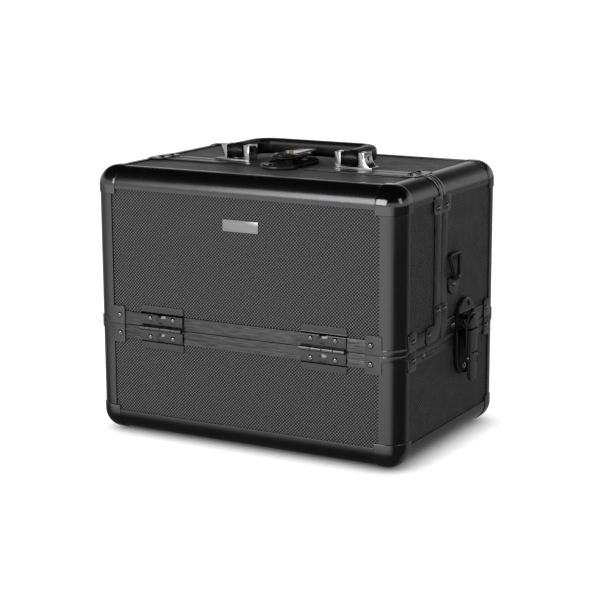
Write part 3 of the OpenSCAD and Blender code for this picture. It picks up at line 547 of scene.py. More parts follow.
SIDE_WALL, UPRIGHT = 172 * MM, (136 * MM, 264 * MM)
ROUNDS = {
    0.5: "base_rim door_rim lid_rim front_tray rear_lower_tray rear_upper_tray "
         "handle_brackets base_lining door_lining lid_lining",
    0.25: "base_corner_clips door_clips lid_clips strap_ring_plates "
          "nameplate front_tray_arms rear_tray_arms",
}
for width, names in ROUNDS.items():
    for node_name in names.split():
        made = softened(node_name, width * MM)
        if node_name.endswith("rim"):
            by_direction(made)
print("softened", sum(len(names.split()) for names in ROUNDS.values()), "pieces")

# %% [markdown]
# The other pieces are worked out as surfaces. Most are an outline with rounded
# corners that is carried along a path, or a profile spun round an axis; a few
# are a height over a flat grid. Each helper here gives a part, which is its
# points, its faces and the number of its finish.


# %% Shape helpers
def rounded(corners, radii, steps=12):
    """A closed outline whose corners are arcs.

    The two sides leave a corner p along unit vectors a and b. The arc touches
    them r / tan(half angle) away, and its centre lies r / sin(half angle) along
    their bisector. Between the touching points the arc is a slerp.
    """
    p = np.asarray(corners, float)
    r = np.broadcast_to(np.asarray(radii, float), len(p)).reshape(-1, 1)
    a, b = np.roll(p, 1, 0) - p, np.roll(p, -1, 0) - p
    a /= np.linalg.norm(a, axis=1, keepdims=True)
    b /= np.linalg.norm(b, axis=1, keepdims=True)
    half = np.arccos(np.clip((a * b).sum(1, keepdims=True), -1, 1)) / 2
    middle = (a + b) / np.linalg.norm(a + b, axis=1, keepdims=True)
    centre = p + middle * r / np.sin(half)
    start, end = p + a * r / np.tan(half) - centre, p + b * r / np.tan(half) - centre
    t = np.linspace(0, 1, steps + 1)[None, :, None]
    turn = (np.pi - 2 * half)[:, :, None]
    bends = np.sin((1 - t) * turn) * start[:, None] + np.sin(t * turn) * end[:, None]
    return (centre[:, None] + bends / np.sin(turn)).reshape(-1, 2)


def along(outline, path, across, up):
    """Carries a flat outline along a path: point = path + x * across + y * up."""
    path, across, up = (np.asarray(v, float).reshape(-1, 1, 3) for v in (path, across, up))
    return path + outline[None, :, :1] * across + outline[None, :, 1:] * up


def solid(rings, closed=False, slot=0):
    """Quads between rings of points, and a flat face over each open end."""
    rows, cols = rings.shape[:2]
    faces = grid_faces(rows, cols, close_rows=closed, close_cols=True).tolist()
    if not closed:
        faces += [list(range(cols)), list(range((rows - 1) * cols, rows * cols))]
    return rings.reshape(-1, 3), faces, slot


def flipped(parts, axis):
    """The same parts on the other side of the plane where axis is zero."""
    sign = np.where(np.arange(3) == "XYZ".index(axis), -1.0, 1.0)
    return [(verts * sign, faces, slot) for verts, faces, slot in parts]


def headings(path, closed=False):
    """Unit vectors along a path, each from the point's two neighbours."""
    path = np.asarray(path, float)
    way = np.roll(path, -1, 0) - np.roll(path, 1, 0) if closed else np.gradient(path, axis=0)
    return way / np.linalg.norm(way, axis=1, keepdims=True)


def wire(path, radius, across, up, steps=14, closed=False, slot=0):
    """A round wire along a path; across and up are square to it and to each other."""
    turn = np.linspace(0, 2 * np.pi, steps, endpoint=False)
    circle = radius * np.stack([np.cos(turn), np.sin(turn)], -1)
    rings = along(circle, path, across, np.broadcast_to(up, np.shape(path)))
    return solid(rings, closed=closed, slot=slot)


def moved(parts, shift):
    """The same parts shifted."""
    return [(verts + np.asarray(shift, float), faces, slot) for verts, faces, slot in parts]


def turned(profile, origin, axis, steps=32, slot=0):
    """Spins a profile of (distance along the axis, radius) round an axis."""
    axis = unit(axis)
    side = unit(np.cross(axis, ANY_WAY))
    angle = np.linspace(0, 2 * np.pi, steps, endpoint=False)[:, None]
    spokes = np.cos(angle) * side + np.sin(angle) * np.cross(axis, side)
    profile = np.asarray(profile, float)
    middle = np.asarray(origin, float) + profile[:, None, :1] * axis
    return solid(middle + profile[:, None, 1:] * spokes, slot=slot)


ANY_WAY = (0.31, 0.57, 0.76)  # lies along no axis that a piece is turned on

# %% [markdown]
# A pressed sheet is one grid of points and the same grid shifted, closed round
# its border. Then the parts of a piece are joined: doubles are merged, faces
# turn outwards, and the piece takes the place of a piece of the frame.


# %% Sheets and pieces
def slab(front, shift, slot=0):
    """A closed sheet: a grid of points, the same grid shifted, and their borders.

    slot is one number, or one for each face of the front grid.
    """
    rows, cols = front.shape[:2]
    back = front + np.asarray(shift, float)
    top = grid_faces(rows, cols)
    count = rows * cols
    index = np.arange(count).reshape(rows, cols)
    rim = np.concatenate([index[0], index[1:, -1], index[-1, -2::-1], index[-2:0:-1, 0]])
    walls = np.stack([rim, np.roll(rim, -1), np.roll(rim, -1) + count, rim + count], -1)
    faces = np.concatenate([top, top[:, ::-1] + count, walls])
    if np.ndim(slot):
        slot = np.concatenate([slot, np.zeros(len(faces) - len(top))])
    return np.concatenate([front.reshape(-1, 3), back.reshape(-1, 3)]), faces.tolist(), slot


def assemble(name, parts, sharp=35.0):
    """Joins parts into one object, merges doubles and turns the faces outwards."""
    starts = np.cumsum([0] + [len(verts) for verts, _, _ in parts])
    faces = [[i + start for i in face]
             for (_, own, _), start in zip(parts, starts) for face in own]
    made = surface(name, np.concatenate([verts for verts, _, _ in parts]), faces)
    slots = np.concatenate([np.full(len(own), slot) for _, own, slot in parts])
    made.data.polygons.foreach_set("material_index", slots.astype(np.int32))
    shape = bmesh.new()
    shape.from_mesh(made.data)
    bmesh.ops.remove_doubles(shape, verts=shape.verts, dist=MERGE)
    bmesh.ops.recalc_face_normals(shape, faces=shape.faces)
    shape.to_mesh(made.data)
    shape.free()
    made.data.set_sharp_from_angle(angle=np.radians(sharp))
    return made


def build(name, node, parts, finishes=(), soft=0.0, sharp=35.0):
    """Assembles a piece, rounds it by soft and lets it stand for a frame piece."""
    made = assemble(name, parts, sharp)
    if soft:
        rounding(made, soft)
    print(name, len(made.data.polygons), "faces")
    return stand_for(made, node, finishes)


# %% [markdown]
# The edge profile is one extrusion: a quarter round of 20 mm radius with a
# short flat on each side, where a lip holds the panel. The flats are tangent to
# the round, so a lamp draws one long soft streak on it.

# %% Edge profiles
W, D, H = 360 * MM, 244 * MM, 285 * MM
FOOT, SEAM, SPLIT = 3 * MM, 121 * MM, -26 * MM
TOP, GAP = H + FOOT, 0.2 * MM  # GAP lies on each side of the seam and the split
EDGE_R, EDGE_LEG, WALL = 20 * MM, 23 * MM, 7 * MM
EDGE = rounded(
    [(0, 0), (EDGE_LEG, 0), (EDGE_LEG, WALL), (WALL, WALL), (WALL, EDGE_LEG), (0, EDGE_LEG)],
    [EDGE_R, 0.6 * MM, 0.4 * MM, 2 * MM, 0.4 * MM, 0.6 * MM],
)


def edge_bar(start, end, across, up, slot):
    """The edge profile from start to end; its corner line is the case's corner."""
    return solid(along(EDGE, [start, end], [across] * 2, [up] * 2), slot=slot)


def edges(low, high, front, back, walls, closed_below=False):
    """Bars of one shell: uprights from low to high, then bars round its closed side.

    front and back are where the side bars end; a wall is its y and its inward
    direction. Slots 0, 1 and 2 are the finishes along X, Y and Z.
    """
    x, level = W / 2, low if closed_below else high
    up = (0, 0, 1) if closed_below else (0, 0, -1)
    foot, head = (low + EDGE_LEG, high) if closed_below else (low, high - EDGE_LEG)
    half = [edge_bar((x, y, foot), (x, y, head), (-1, 0, 0), (0, inward, 0), 2)
            for y, inward in walls]
    half.append(edge_bar((x, front, level), (x, back, level), (-1, 0, 0), up, 1))
    both = half + flipped(half, "X")
    for y, inward in walls:
        ends = ((EDGE_LEG - x, y, level), (x - EDGE_LEG, y, level))
        both.append(edge_bar(*ends, (0, inward, 0), up, 0))
    return both


FRONT_WALL, REAR_WALL = (-D / 2, 1), (D / 2, -1)
FRONT_END, REAR_END = EDGE_LEG - D / 2, D / 2 - EDGE_LEG
edge_sets = {
    "base_edges": edges(FOOT, SEAM - GAP, FRONT_END, REAR_END, [FRONT_WALL, REAR_WALL], True),
    "door_edges": edges(SEAM + GAP, TOP, FRONT_END, SPLIT - GAP, [FRONT_WALL]),
    "lid_edges": edges(SEAM + GAP, TOP, SPLIT + GAP, REAR_END, [REAR_WALL]),
}
for node_name, parts in edge_sets.items():
    build(node_name + "-bars", node_name, parts, (edge_x, edge_y, edge_z))

# %% [markdown]
# Three profiles meet under a moulded cap. It is the corner of a rounded box,
# 28 mm long each way, standing a little proud and thinning to nothing at its
# rim. Pulling a cube's corner on to a rounded box gives all of it at once.

# %% Corner caps
CAP_LEG, CAP_PROUD, CAP_RIM, CAP_WALL = 28 * MM, 0.8 * MM, 0.9 * MM, 1.2 * MM


def cap(corner, inward):
    """The outer corner of a rounded box, as a shell of three square grids.

    A point p of the cube's three faces goes to q + (r + proud) * (p - q) / |p - q|,
    where q is p held at least r inside every face. Near the rim, proud falls to
    zero along a quarter circle.
    """
    ease = 1 - np.cos(np.linspace(0, np.pi / 2, 5))
    steps = np.concatenate(
        [np.linspace(0, EDGE_R, 15), [EDGE_R + 3.5 * MM], CAP_LEG - CAP_RIM * ease[::-1]])
    s, t = np.meshgrid(steps, steps, indexing="ij")
    p = np.stack([np.zeros_like(s), s, t], -1)
    q = np.maximum(p, EDGE_R)
    edge = np.clip((np.maximum(s, t) - CAP_LEG + CAP_RIM) / CAP_RIM, 0, 1)
    rise = (EDGE_R + CAP_PROUD * np.sqrt(1 - edge**2))[..., None]
    outer = q + rise * (p - q) / np.linalg.norm(p - q, axis=-1, keepdims=True)
    faces = grid_faces(len(steps), len(steps)).tolist()
    sides = [np.roll(outer, k, axis=-1).reshape(-1, 3) for k in range(3)]
    return [(np.array(corner) + np.array(inward) * side, faces, 0) for side in sides]


def caps(name, corners, node):
    """Caps at the given corners and at their mirror images, given a wall."""
    parts = [part for corner, inward in corners for part in cap(corner, inward)]
    made = build(name, node, parts + flipped(parts, "X"))
    wall = made.modifiers.new("wall", "SOLIDIFY")
    wall.thickness = CAP_WALL
    wall.offset = -1


LOW_FRONT = ((W / 2, -D / 2, FOOT), (-1, 1, 1))
LOW_REAR = ((W / 2, D / 2, FOOT), (-1, -1, 1))
caps("base-caps", [LOW_FRONT, LOW_REAR], "base_corner_caps")
caps("door-caps", [((W / 2, -D / 2, TOP), (-1, 1, -1))], "door_corner_caps")
caps("lid-caps", [((W / 2, D / 2, TOP), (-1, -1, -1))], "lid_corner_caps")

# %% [markdown]
# A hinge leaf is a sheet that steps back from the rim on to the panel in a
# smooth S, with a round boss pressed between its two rivets. That is a height
# over a grid, so one formula draws it, and its slopes catch the lamp by
# themselves, which a pattern on a flat sheet wouldn't do at the outline.


# %% Hinge leaf sheet
HINGE_X, HINGE_W, HINGE_Y = 96 * MM, 52 * MM, D / 2 + 3.2 * MM
KNUCKLES, KNUCKLE_R, KNUCKLE_GAP = 4, 2.6 * MM, 0.3 * MM
LEAF_IN, LEAF_END, LEAF_T, LEAF_ROUND = 3.2 * MM, 23.5 * MM, 1.2 * MM, 3.5 * MM
LEAF_DEPTH = 1.7  # millimetres from the hinge axis back to the leaf on the rim
SOFT = 0.2 * MM  # the round on the edges of every pressed sheet


def hump(z, middle, reach):
    """A low arch, 1 in its middle and 0 beyond its reach: 1 - ((z - middle) / reach)^2."""
    return np.clip(1 - ((z - middle) / reach) ** 2, 0, 1)


def leaf_sheet():
    """The outer face of a leaf in (x, depth, z) measured from the hinge axis.

    In millimetres: depth is LEAF_DEPTH on the rim. Beyond z = 13.6 it falls back
    by 1.8 over 3 along t * t * (3 - 2 * t). The boss takes off 1.2 * (1 - q)^1.3,
    where q is (x / 6.6)^2 + ((z - 10) / 5.2)^2, held between 0 and 1. Both flats
    are bowed outwards, by 0.35 about z = 8.4 and by 0.12 about z = 20.
    """
    turn = np.radians(np.linspace(0, 90, 9))
    z = np.concatenate([
        np.linspace(LEAF_IN, 12.4 * MM, 22),
        np.linspace(12.8 * MM, 17.4 * MM, 18),
        LEAF_END - LEAF_ROUND * (1 - np.sin(turn)),
    ])
    half = np.full(len(z), HINGE_W / 2)
    half[-len(turn):] -= LEAF_ROUND * (1 - np.cos(turn))
    x = np.linspace(-1, 1, 61)[None, :] * half[:, None]
    z = np.broadcast_to(z[:, None], x.shape)
    across, down = x / MM, z / MM
    t = np.clip((down - 13.6) / 3, 0, 1)
    q = np.clip((across / 6.6) ** 2 + ((down - 10) / 5.2) ** 2, 0, 1)
    bow = 0.35 * hump(down, 8.4, 5.2) + 0.12 * hump(down, 20, 3.4)
    depth = LEAF_DEPTH + 1.8 * t * t * (3 - 2 * t) - bow - 1.2 * (1 - q) ** 1.3
    return np.stack([x, depth * MM, z], -1)


print("leaf grid", leaf_sheet().shape[:2])

# %% [markdown]
# The knuckles are turned on the pin's axis, and the sheet runs on behind them as
# if it were rolled round the pin. Upper and lower leaves take turns along the
# pin, so one begins with the first knuckle and the other with the second. The
# rear hinges are the front ones mirrored.


# %% Hinge leaves
def leaf(first):
    """One leaf with every second knuckle, upwards from an axis through zero."""
    pitch = HINGE_W / KNUCKLES
    ends = np.array([[0, -0.5], [0.1, -0.2], [0.35, 0]]) * MM
    parts = [slab(leaf_sheet(), (0, LEAF_T, 0))]
    for i in range(first, KNUCKLES, 2):
        low = -HINGE_W / 2 + i * pitch + KNUCKLE_GAP / 2
        length = pitch - KNUCKLE_GAP
        start = ends + [0, KNUCKLE_R]
        stop = [length, 0] + start[::-1] * [-1, 1]
        parts.append(turned(np.concatenate([start, stop]), (low, 0, 0), (1, 0, 0), slot=1))
        strip = np.array([[(x, LEAF_DEPTH * MM, z * MM) for z in (0.2, 3.3)]
                          for x in (low, low + length)])
        parts.append(slab(strip, (0, LEAF_T, 0)))
    return parts


upper, lower = leaf(1), flipped(leaf(0), "Z")
for node_name, parts, walls in (
    ("door_hinge_leaves", upper, "F"),
    ("lid_hinge_leaves", upper, "R"),
    ("base_hinge_leaves", lower, "FR"),
):
    leaves = []
    for wall in walls:
        facing, y = (parts, -HINGE_Y) if wall == "F" else (flipped(parts, "Y"), HINGE_Y)
        leaves += [part for x in (HINGE_X, -HINGE_X) for part in moved(facing, (x, y, SEAM))]
    build(node_name + "-sheet", node_name, leaves, (gunmetal, knuckle_black), soft=SOFT)

# %% [markdown]
# Rivet heads are small half ellipsoids with a crisp foot. Their places follow
# the clips and the hinges, and all are mirrored to the other side of the case.
# They ride on their shells, over the solid model's lower heads.


# %% Rivet heads
RIVET_R, RIVET_H = 3.3 * MM, 1.9 * MM


def head(place, axis):
    """Half an ellipsoid: (h * sin, r * cos) from its foot to its top."""
    turn = np.radians([0, 12, 25, 38, 52, 66, 78, 86, 89.5])
    profile = np.stack([RIVET_H * np.sin(turn), RIVET_R * np.cos(turn)], -1)
    return turned(profile, place, axis, steps=28)


def heads(name, body, rows):
    """Rows of (x, y, z, axis) in millimetres, and their mirror images."""
    parts = [head(np.array(row[:3]) * MM, row[3]) for row in rows]
    made = assemble(name, parts + flipped(parts, "X"))
    made.data.materials.append(rivet_black)
    print(name, 2 * len(rows))
    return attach(made, body)


RIGHT, FRONT, REAR, UP = (1, 0, 0), (0, -1, 0), (0, 1, 0), (0, 0, 1)
SIDE_X, CLIP_X, HINGE_XS = 181, 149, (82, 110)
BELOW_SEAM, ABOVE_SEAM, CLIP_FACE, HINGE_FACE = 111.3, 130.7, 123, 123.5


def base_rows():
    """One clip rivet near each corner of the base, and two below each hinge."""
    rows = [(CLIP_X, y, BELOW_SEAM, axis) for y, axis in ((-CLIP_FACE, FRONT), (CLIP_FACE, REAR))]
    rows += [(SIDE_X, y, BELOW_SEAM, RIGHT) for y in (-91, 91)]
    faces = ((-HINGE_FACE, FRONT), (HINGE_FACE, REAR))
    return rows + [(x, y, 111, axis) for x in HINGE_XS for y, axis in faces]


def shell_rows(axis, deep):
    """Clip and hinge rivets of the door or the lid, whose outer wall faces axis.

    deep is the distance from the outer wall to the split, and sign points inwards.
    """
    sign = -axis[1]
    wall = -122 * sign
    split = wall + sign * deep
    rows = [
        (CLIP_X, wall - sign * 1, ABOVE_SEAM, axis),
        (SIDE_X, wall + sign * 31, ABOVE_SEAM, RIGHT),
        (SIDE_X, split - sign * 29, ABOVE_SEAM - 1, RIGHT),
        (SIDE_X, split - sign * 7.3, ABOVE_SEAM + 20.5, RIGHT),
        (SIDE_X, split - sign * 9.5, 257, RIGHT),
        (CLIP_X, split - sign * 9.5, 289, UP),
    ]
    return rows + [(x, wall - sign * 1.5, 131, axis) for x in HINGE_XS]


heads("base-rivet-heads", nodes["base_rivets"]["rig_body"], base_rows())
heads("door-rivet-heads", nodes["door_rivets"]["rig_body"], shell_rows(FRONT, 95.8))
heads("lid-rivet-heads", nodes["lid_rivets"]["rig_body"], shell_rows(REAR, 147.8))

# %% [markdown]
# A draw latch pulls two shells together: the lever turns on the base plate, a
# wire bail hangs on the lever and reaches over the seam, and its top catches
# under the keeper. The parts are drawn in the latch's own millimetres (u
# across, w outwards, z from the seam to the keeper) and then set on a wall, so
# one drawing serves all three latches. First the helpers for such drawings.


# %% Latch helpers
LATCH_R, PLATE_LOW, KEEPER_TOP, LIP_Z = 22.0, -28.0, 33.0, 19.2
LEVER_R, LEVER_OUT, LEVER_END, CAP_MID = 10.5, 13.0, -57.0, 3.5
SHEET, ROLL, CROWN = 1.2, 1.6, 0.6
# The last number is the near-black finish that paints shade.
PLAIN, STEEL, LIP, PAINTED_SHADE = range(4)  # the finishes of a latch piece, by number
OUT = (0, 1, 0)


def fitted(parts, origin, axes):
    """Carries latch millimetres to metres: origin + u, w, z times their axes."""
    axes = np.asarray(axes, float)
    return [(np.asarray(verts) * MM @ axes + np.asarray(origin, float), faces, slot)
            for verts, faces, slot in parts]


def arc(middle, radius, start, stop, steps):
    """Points (u, z) on a circle, angles in degrees from +u."""
    turn = np.radians(np.linspace(start, stop, steps))
    return np.stack([middle[0] + radius * np.cos(turn), middle[1] + radius * np.sin(turn)], -1)


def raised(outline, w):
    """Turns points (u, z) into (u, w, z) at one height over the wall."""
    outline = np.asarray(outline, float)
    return np.stack([outline[:, 0], np.broadcast_to(w, len(outline)), outline[:, 1]], -1)


def board(outline, low, high, slot=PLAIN):
    """A flat plate between two heights over the wall."""
    return solid(np.stack([raised(outline, low), raised(outline, high)]), slot=slot)


def block(low, high, slot=PLAIN):
    """A box between two corners, as two rings."""
    (a, c, e), (b, d, f) = low, high
    rings = [[(a, c, z), (b, c, z), (b, d, z), (a, d, z)] for z in (e, f)]
    return solid(np.array(rings, float), slot=slot)


def rolled(edge, radius):
    """How far a pressed face falls away at a distance edge from its border."""
    return radius * (1 - np.sqrt(1 - np.clip(1 - edge / radius, 0, 1) ** 2))


# %% [markdown]
# The base plate is a flat dish with one raised lip round its end, the same
# small section carried round the outline. The keeper is half a disc under a
# hood, which is lower at its top and meets the plate in a roll. A round bead
# ends the hood below, and the bail goes in under it.


# %% Latch plate and keeper
def base_plate():
    """A dish with a raised rim round its end, two ears and a screw."""
    bottom = arc((0, PLATE_LOW), LATCH_R, 180, 360, 41)
    outline = np.concatenate([[(-LATCH_R, -0.6)], bottom, [(LATCH_R, -0.6)]])
    inward = np.concatenate([[(1, 0)], ((0, PLATE_LOW) - bottom) / LATCH_R, [(-1, 0)]])
    lip = rounded([(0, 0), (1.5, 0), (1.5, 3.4), (0, 3.4)], 0.6, steps=4)
    rim = along(lip, raised(outline, 0), raised(inward, 0), [OUT] * len(outline))
    # The dish and the pivot ears under the lever wear the painted shade.
    ears = [block((u - 0.6, 0, -8), (u + 0.6, 9.6, -2), slot=PAINTED_SHADE) for u in (-7.9, 7.9)]
    turn = np.radians(np.linspace(0, 88, 10))
    dome = np.stack([SHEET + 1.8 * np.sin(turn), 3.2 * np.cos(turn)], -1)
    screw = turned(dome, (0, 0, -41), OUT, slot=STEEL)
    return [board(outline, 0, SHEET, slot=PAINTED_SHADE), solid(rim), screw] + ears


def hood(mid):
    """The hood's pressed face; t runs from its lower lip (0) to its crest (1).

    It stands 4.5 - t over the wall, and rolls down to the plate over 2.2 mm.
    """
    lift = np.degrees(np.arcsin((LIP_Z - mid) / LATCH_R)) + 0.3
    crest = arc((0, mid), LATCH_R, lift, 180 - lift, 57)
    t = np.concatenate([np.linspace(0, 0.7, 8), np.linspace(0.76, 1, 12)])[:, None]
    u = np.broadcast_to(crest[:, 0], (len(t), len(crest)))
    z = LIP_Z + t * (crest[:, 1] - LIP_Z)
    edge = LATCH_R - np.hypot(u, z - mid)
    face = 4.5 - 1.0 * t
    w = SHEET + (face - SHEET) * (1 - rolled(edge, 2.2) / 2.2)
    return slab(np.stack([u, w, z], -1), (0, -1.1, 0))


def side_walls(mid):
    """The two upright borders below the hood, which get higher towards it."""
    z = np.linspace(0.6, LIP_Z, 16)
    wide = np.sqrt(LATCH_R**2 - np.clip(z - mid, 0, None) ** 2)
    rise = np.interp(z, [0.6, mid, LIP_Z], [1.8, 3.0, 3.6])
    walls = []
    for sign in (-1, 1):
        x0, x1 = sign * wide, sign * (wide - SHEET)
        ring = [(x0, 0 * rise), (x1, 0 * rise), (x1, rise), (x0, rise)]
        walls.append(solid(np.stack([np.stack([x, w, z], -1) for x, w in ring], 1)))
    return walls


def keeper(catch):
    """A half round plate, hood and bead; catch is how far its inner bar stands out."""
    mid = KEEPER_TOP - LATCH_R
    top = arc((0, mid), LATCH_R, 0, 180, 41)
    plate = np.concatenate([top, [(-LATCH_R, 0.6), (LATCH_R, 0.6)]])
    reach = np.sqrt(LATCH_R**2 - (LIP_Z - mid) ** 2) - SHEET
    bead = raised(np.stack([np.linspace(-reach, reach, 9), np.full(9, LIP_Z)], -1), 3.7)
    lip = wire(bead, 0.85, np.cross(headings(bead), OUT), OUT, slot=LIP)
    slot_head = rounded([(-5.2, 23.4), (-2.6, 23.4), (-2.6, 28.6), (-5.2, 28.6)], 1.29, steps=6)
    catch_bar = block((-5, 0, 10), (5, catch, 12.5), slot=PAINTED_SHADE)
    # The plate under the hood, the slotted head and the catch bar wear the painted-shade finish.
    return [board(plate, 0, SHEET, slot=PAINTED_SHADE), hood(mid), lip,
            board(slot_head, 3.5, 4.7, slot=PAINTED_SHADE), catch_bar] + side_walls(mid)


# %% [markdown]
# The lever is a capsule pressed from sheet. Its face is worked out as a height:
# the border rolls over, the middle is slightly crowned, and two fine grooves
# outline the thumb tab. Faces in the grooves wear the near-black finish as
# painted shade, the shade of a cut that frees the tab.


# %% Latch lever
def channel(half):
    """Distances u across a pressed face, one row for each half width.

    They lie closer together near both borders, where the sheet rolls over.
    """
    ease = 0.16 * (1 - np.cos(np.linspace(0, np.pi / 2, 8)))
    s = np.concatenate([-1 + ease, np.linspace(-0.8, 0.8, 41), 1 - ease])
    return np.sort(s)[None, :] * half[:, None]


def pressed(u, edge):
    """Height of a pressed face, crowned across u and rolled at its border."""
    return LEVER_OUT - rolled(edge, ROLL) - CROWN * (u / LEVER_R) ** 2


def lever_face():
    """The capsule's outer face, with two grooves around the thumb tab.

    edge is the distance from the outline, a straight side above z = low and a
    half circle below it.
    """
    low = LEVER_END + LEVER_R
    turn = np.radians(np.linspace(4, 90, 14))
    z = np.concatenate([
        low - LEVER_R * np.cos(turn), np.linspace(low + 0.6, -27, 34),
        np.linspace(-26.4, -24.4, 9), np.linspace(-23.8, -1.0, 24)])
    half = np.where(z < low, np.sqrt(np.clip(LEVER_R**2 - (z - low) ** 2, 0.01, None)), LEVER_R)
    u = channel(half)
    z = np.broadcast_to(z[:, None], u.shape)
    edge = np.where(z < low, LEVER_R - np.hypot(u, z - low), LEVER_R - np.abs(u))
    cross = (np.abs(z + 25.4) < 0.7) & (u < 6) & (u > -9)
    down = (np.abs(u + 8.4) < 0.6) & (z < -25) & (z > -37)
    line = cross | down
    # Faces in the grooves take the painted-shade finish.
    sunk_painted_shade = (line[1:, 1:] | line[:-1, 1:] | line[1:, :-1] | line[:-1, :-1]).ravel()
    face = np.stack([u, pressed(u, edge) - 1.0 * line, z], -1)
    return slab(face, (0, -SHEET, 0), PAINTED_SHADE * sunk_painted_shade)


def lever():
    """The capsule, its two side walls with the pivot between them, and a pin."""
    wall = [(-2, 11.6), (-2, 4.4), (-8, 4.4), (-33, 8.2), (-36, 11.6)]
    sides = []
    for u in (-LEVER_R + 0.15, LEVER_R - 1.35):
        rings = np.array([[(x, w, z) for z, w in wall] for x in (u, u + SHEET)])
        # The side walls under the capsule wear the painted shade.
        sides.append(solid(rings, slot=PAINTED_SHADE))
    pin = turned([(0, 1.2), (25.6, 1.2)], (-12.8, 10.5, -30), (1, 0, 0), steps=20, slot=STEEL)
    return [lever_face(), pin] + sides


# %% [markdown]
# The bail is one bent wire that hugs the lever and closes round its head. A
# thin frame lies behind the wire, and a round cap sits on the frame. The cap's
# face is pressed like the lever's, so both use the same height. On the top
# latch the cap is dished and wears two rings.


# %% Latch bail
def ring(radius, thick, w, slot=PLAIN):
    """A round wire ring about the cap's middle, lying at one height."""
    turn = np.linspace(0, 2 * np.pi, 48, endpoint=False)
    away = np.stack([np.cos(turn), 0 * turn, np.sin(turn)], -1)
    middle = np.array([0, w, CAP_MID]) + radius * away
    return wire(middle, thick, away, OUT, closed=True, slot=slot)


def bail(tongue):
    """A wire bent round the lever, a frame behind it and the cap on the frame.

    tongue is how far a tab reaches inwards under the keeper's hood. Without one
    the cap is dished and has its rings.
    """
    over = arc((0, CAP_MID), 12.9, 0, 180, 33)
    legs = [(11.9, -34), (12.3, -31), (12.6, -20), (12.8, -8)]
    bent = raised(np.concatenate([legs, over, [(-u, z) for u, z in legs[::-1]]]), 9.4)
    hook = wire(bent, 1.15, np.cross(headings(bent), OUT), OUT)
    # The frame behind the wire wears the painted shade.
    backing = board(arc((0, CAP_MID), 12.1, -9, 189, 37), 9.5, 10.8, slot=PAINTED_SHADE)
    turn = np.radians(np.linspace(86, -12, 24))
    u = channel(LEVER_R * np.cos(turn))
    z = np.broadcast_to((CAP_MID + LEVER_R * np.sin(turn))[:, None], u.shape)
    out = np.hypot(u, z - CAP_MID)
    w = pressed(u, LEVER_R - out)
    if not tongue:
        w = w - 1.6 * (out < 7)
    parts = [hook, backing, slab(np.stack([u, w, z], -1), (0, -2.2, 0))]
    if tongue:
        return parts + [block((-5, 9.6 - tongue, 13.2), (5, 9.6, 14.7))]
    return parts + [ring(10.4, 1.5, 11.4), ring(8.2, 1.0, 12.3, slot=LIP)]


# %% [markdown]
# An origin and three axes set the drawings on the right side, where they point
# up, and on the top, where they point to the front. The left latch mirrors the
# right one. Every piece here stands for the frame piece of the same name and
# rides on that piece's body, so lever and bail turn on their own joints.


# %% Latches in place
LATCH_Y = 32 * MM
ON_RIGHT = ((W / 2, LATCH_Y, SEAM), ((0, -1, 0), (1, 0, 0), (0, 0, 1)))
ON_TOP = ((0, SPLIT, TOP), ((1, 0, 0), (0, 0, 1), (0, -1, 0)))
SHADES = (latch_black, screw_steel, latch_lip, latch_painted_shade)
BRIGHT_SHADES = (bright_steel,) + SHADES[1:]

right_plate = fitted(base_plate(), *ON_RIGHT)
right_keeper = fitted(keeper(6.8), *ON_RIGHT)
right_lever, right_bail = fitted(lever(), *ON_RIGHT), fitted(bail(2.4), *ON_RIGHT)
latch_parts = {
    "side_latch_plates": right_plate + flipped(right_plate, "X"),
    "side_latch_keepers": right_keeper + flipped(right_keeper, "X"),
    "right_latch_lever": right_lever,
    "left_latch_lever": flipped(right_lever, "X"),
    "right_latch_hook": right_bail,
    "left_latch_hook": flipped(right_bail, "X"),
    "top_latch_plate": fitted(base_plate(), *ON_TOP),
    "top_latch_keeper": fitted(keeper(6), *ON_TOP),
    "top_latch_lever": fitted(lever(), *ON_TOP),
    "top_latch_hook": fitted(bail(0), *ON_TOP),
}
for node_name, parts in latch_parts.items():
    shades = BRIGHT_SHADES if node_name == "top_latch_lever" else SHADES
    build(node_name + "-pressed", node_name, parts, shades, soft=SOFT)

# %% [markdown]
# The grip is moulded round a steel strip: one section is carried along two arms,
# two bends and a straight run. Each end is a half round about its pin, so the
# section gets lower there along a circle. Two shallow grooves follow the top.


# %% Handle grip
PIN_X, PIN_Y, PIN_Z = 69 * MM, -5.5 * MM, 298 * MM
GRIP_R, REACH, BEND, SQUARE = 8.5 * MM, 50 * MM, 18 * MM, 3.2


def grip_section(steps=72):
    """A rounded square: r = R (|cos|^n + |sin|^n)^(-1/n), with n = SQUARE.

    Each groove lowers r by 0.7 mm times exp(-(angle / 5 degrees)^2).
    """
    turn = np.linspace(0, 2 * np.pi, steps, endpoint=False)
    size = np.abs(np.cos(turn)) ** SQUARE + np.abs(np.sin(turn)) ** SQUARE
    r = GRIP_R * size ** (-1 / SQUARE)
    for middle in (62, 118):
        r = r - 0.7 * MM * np.exp(-((np.degrees(turn) - middle) / 5) ** 2)
    return np.stack([r * np.cos(turn), r * np.sin(turn)], -1)


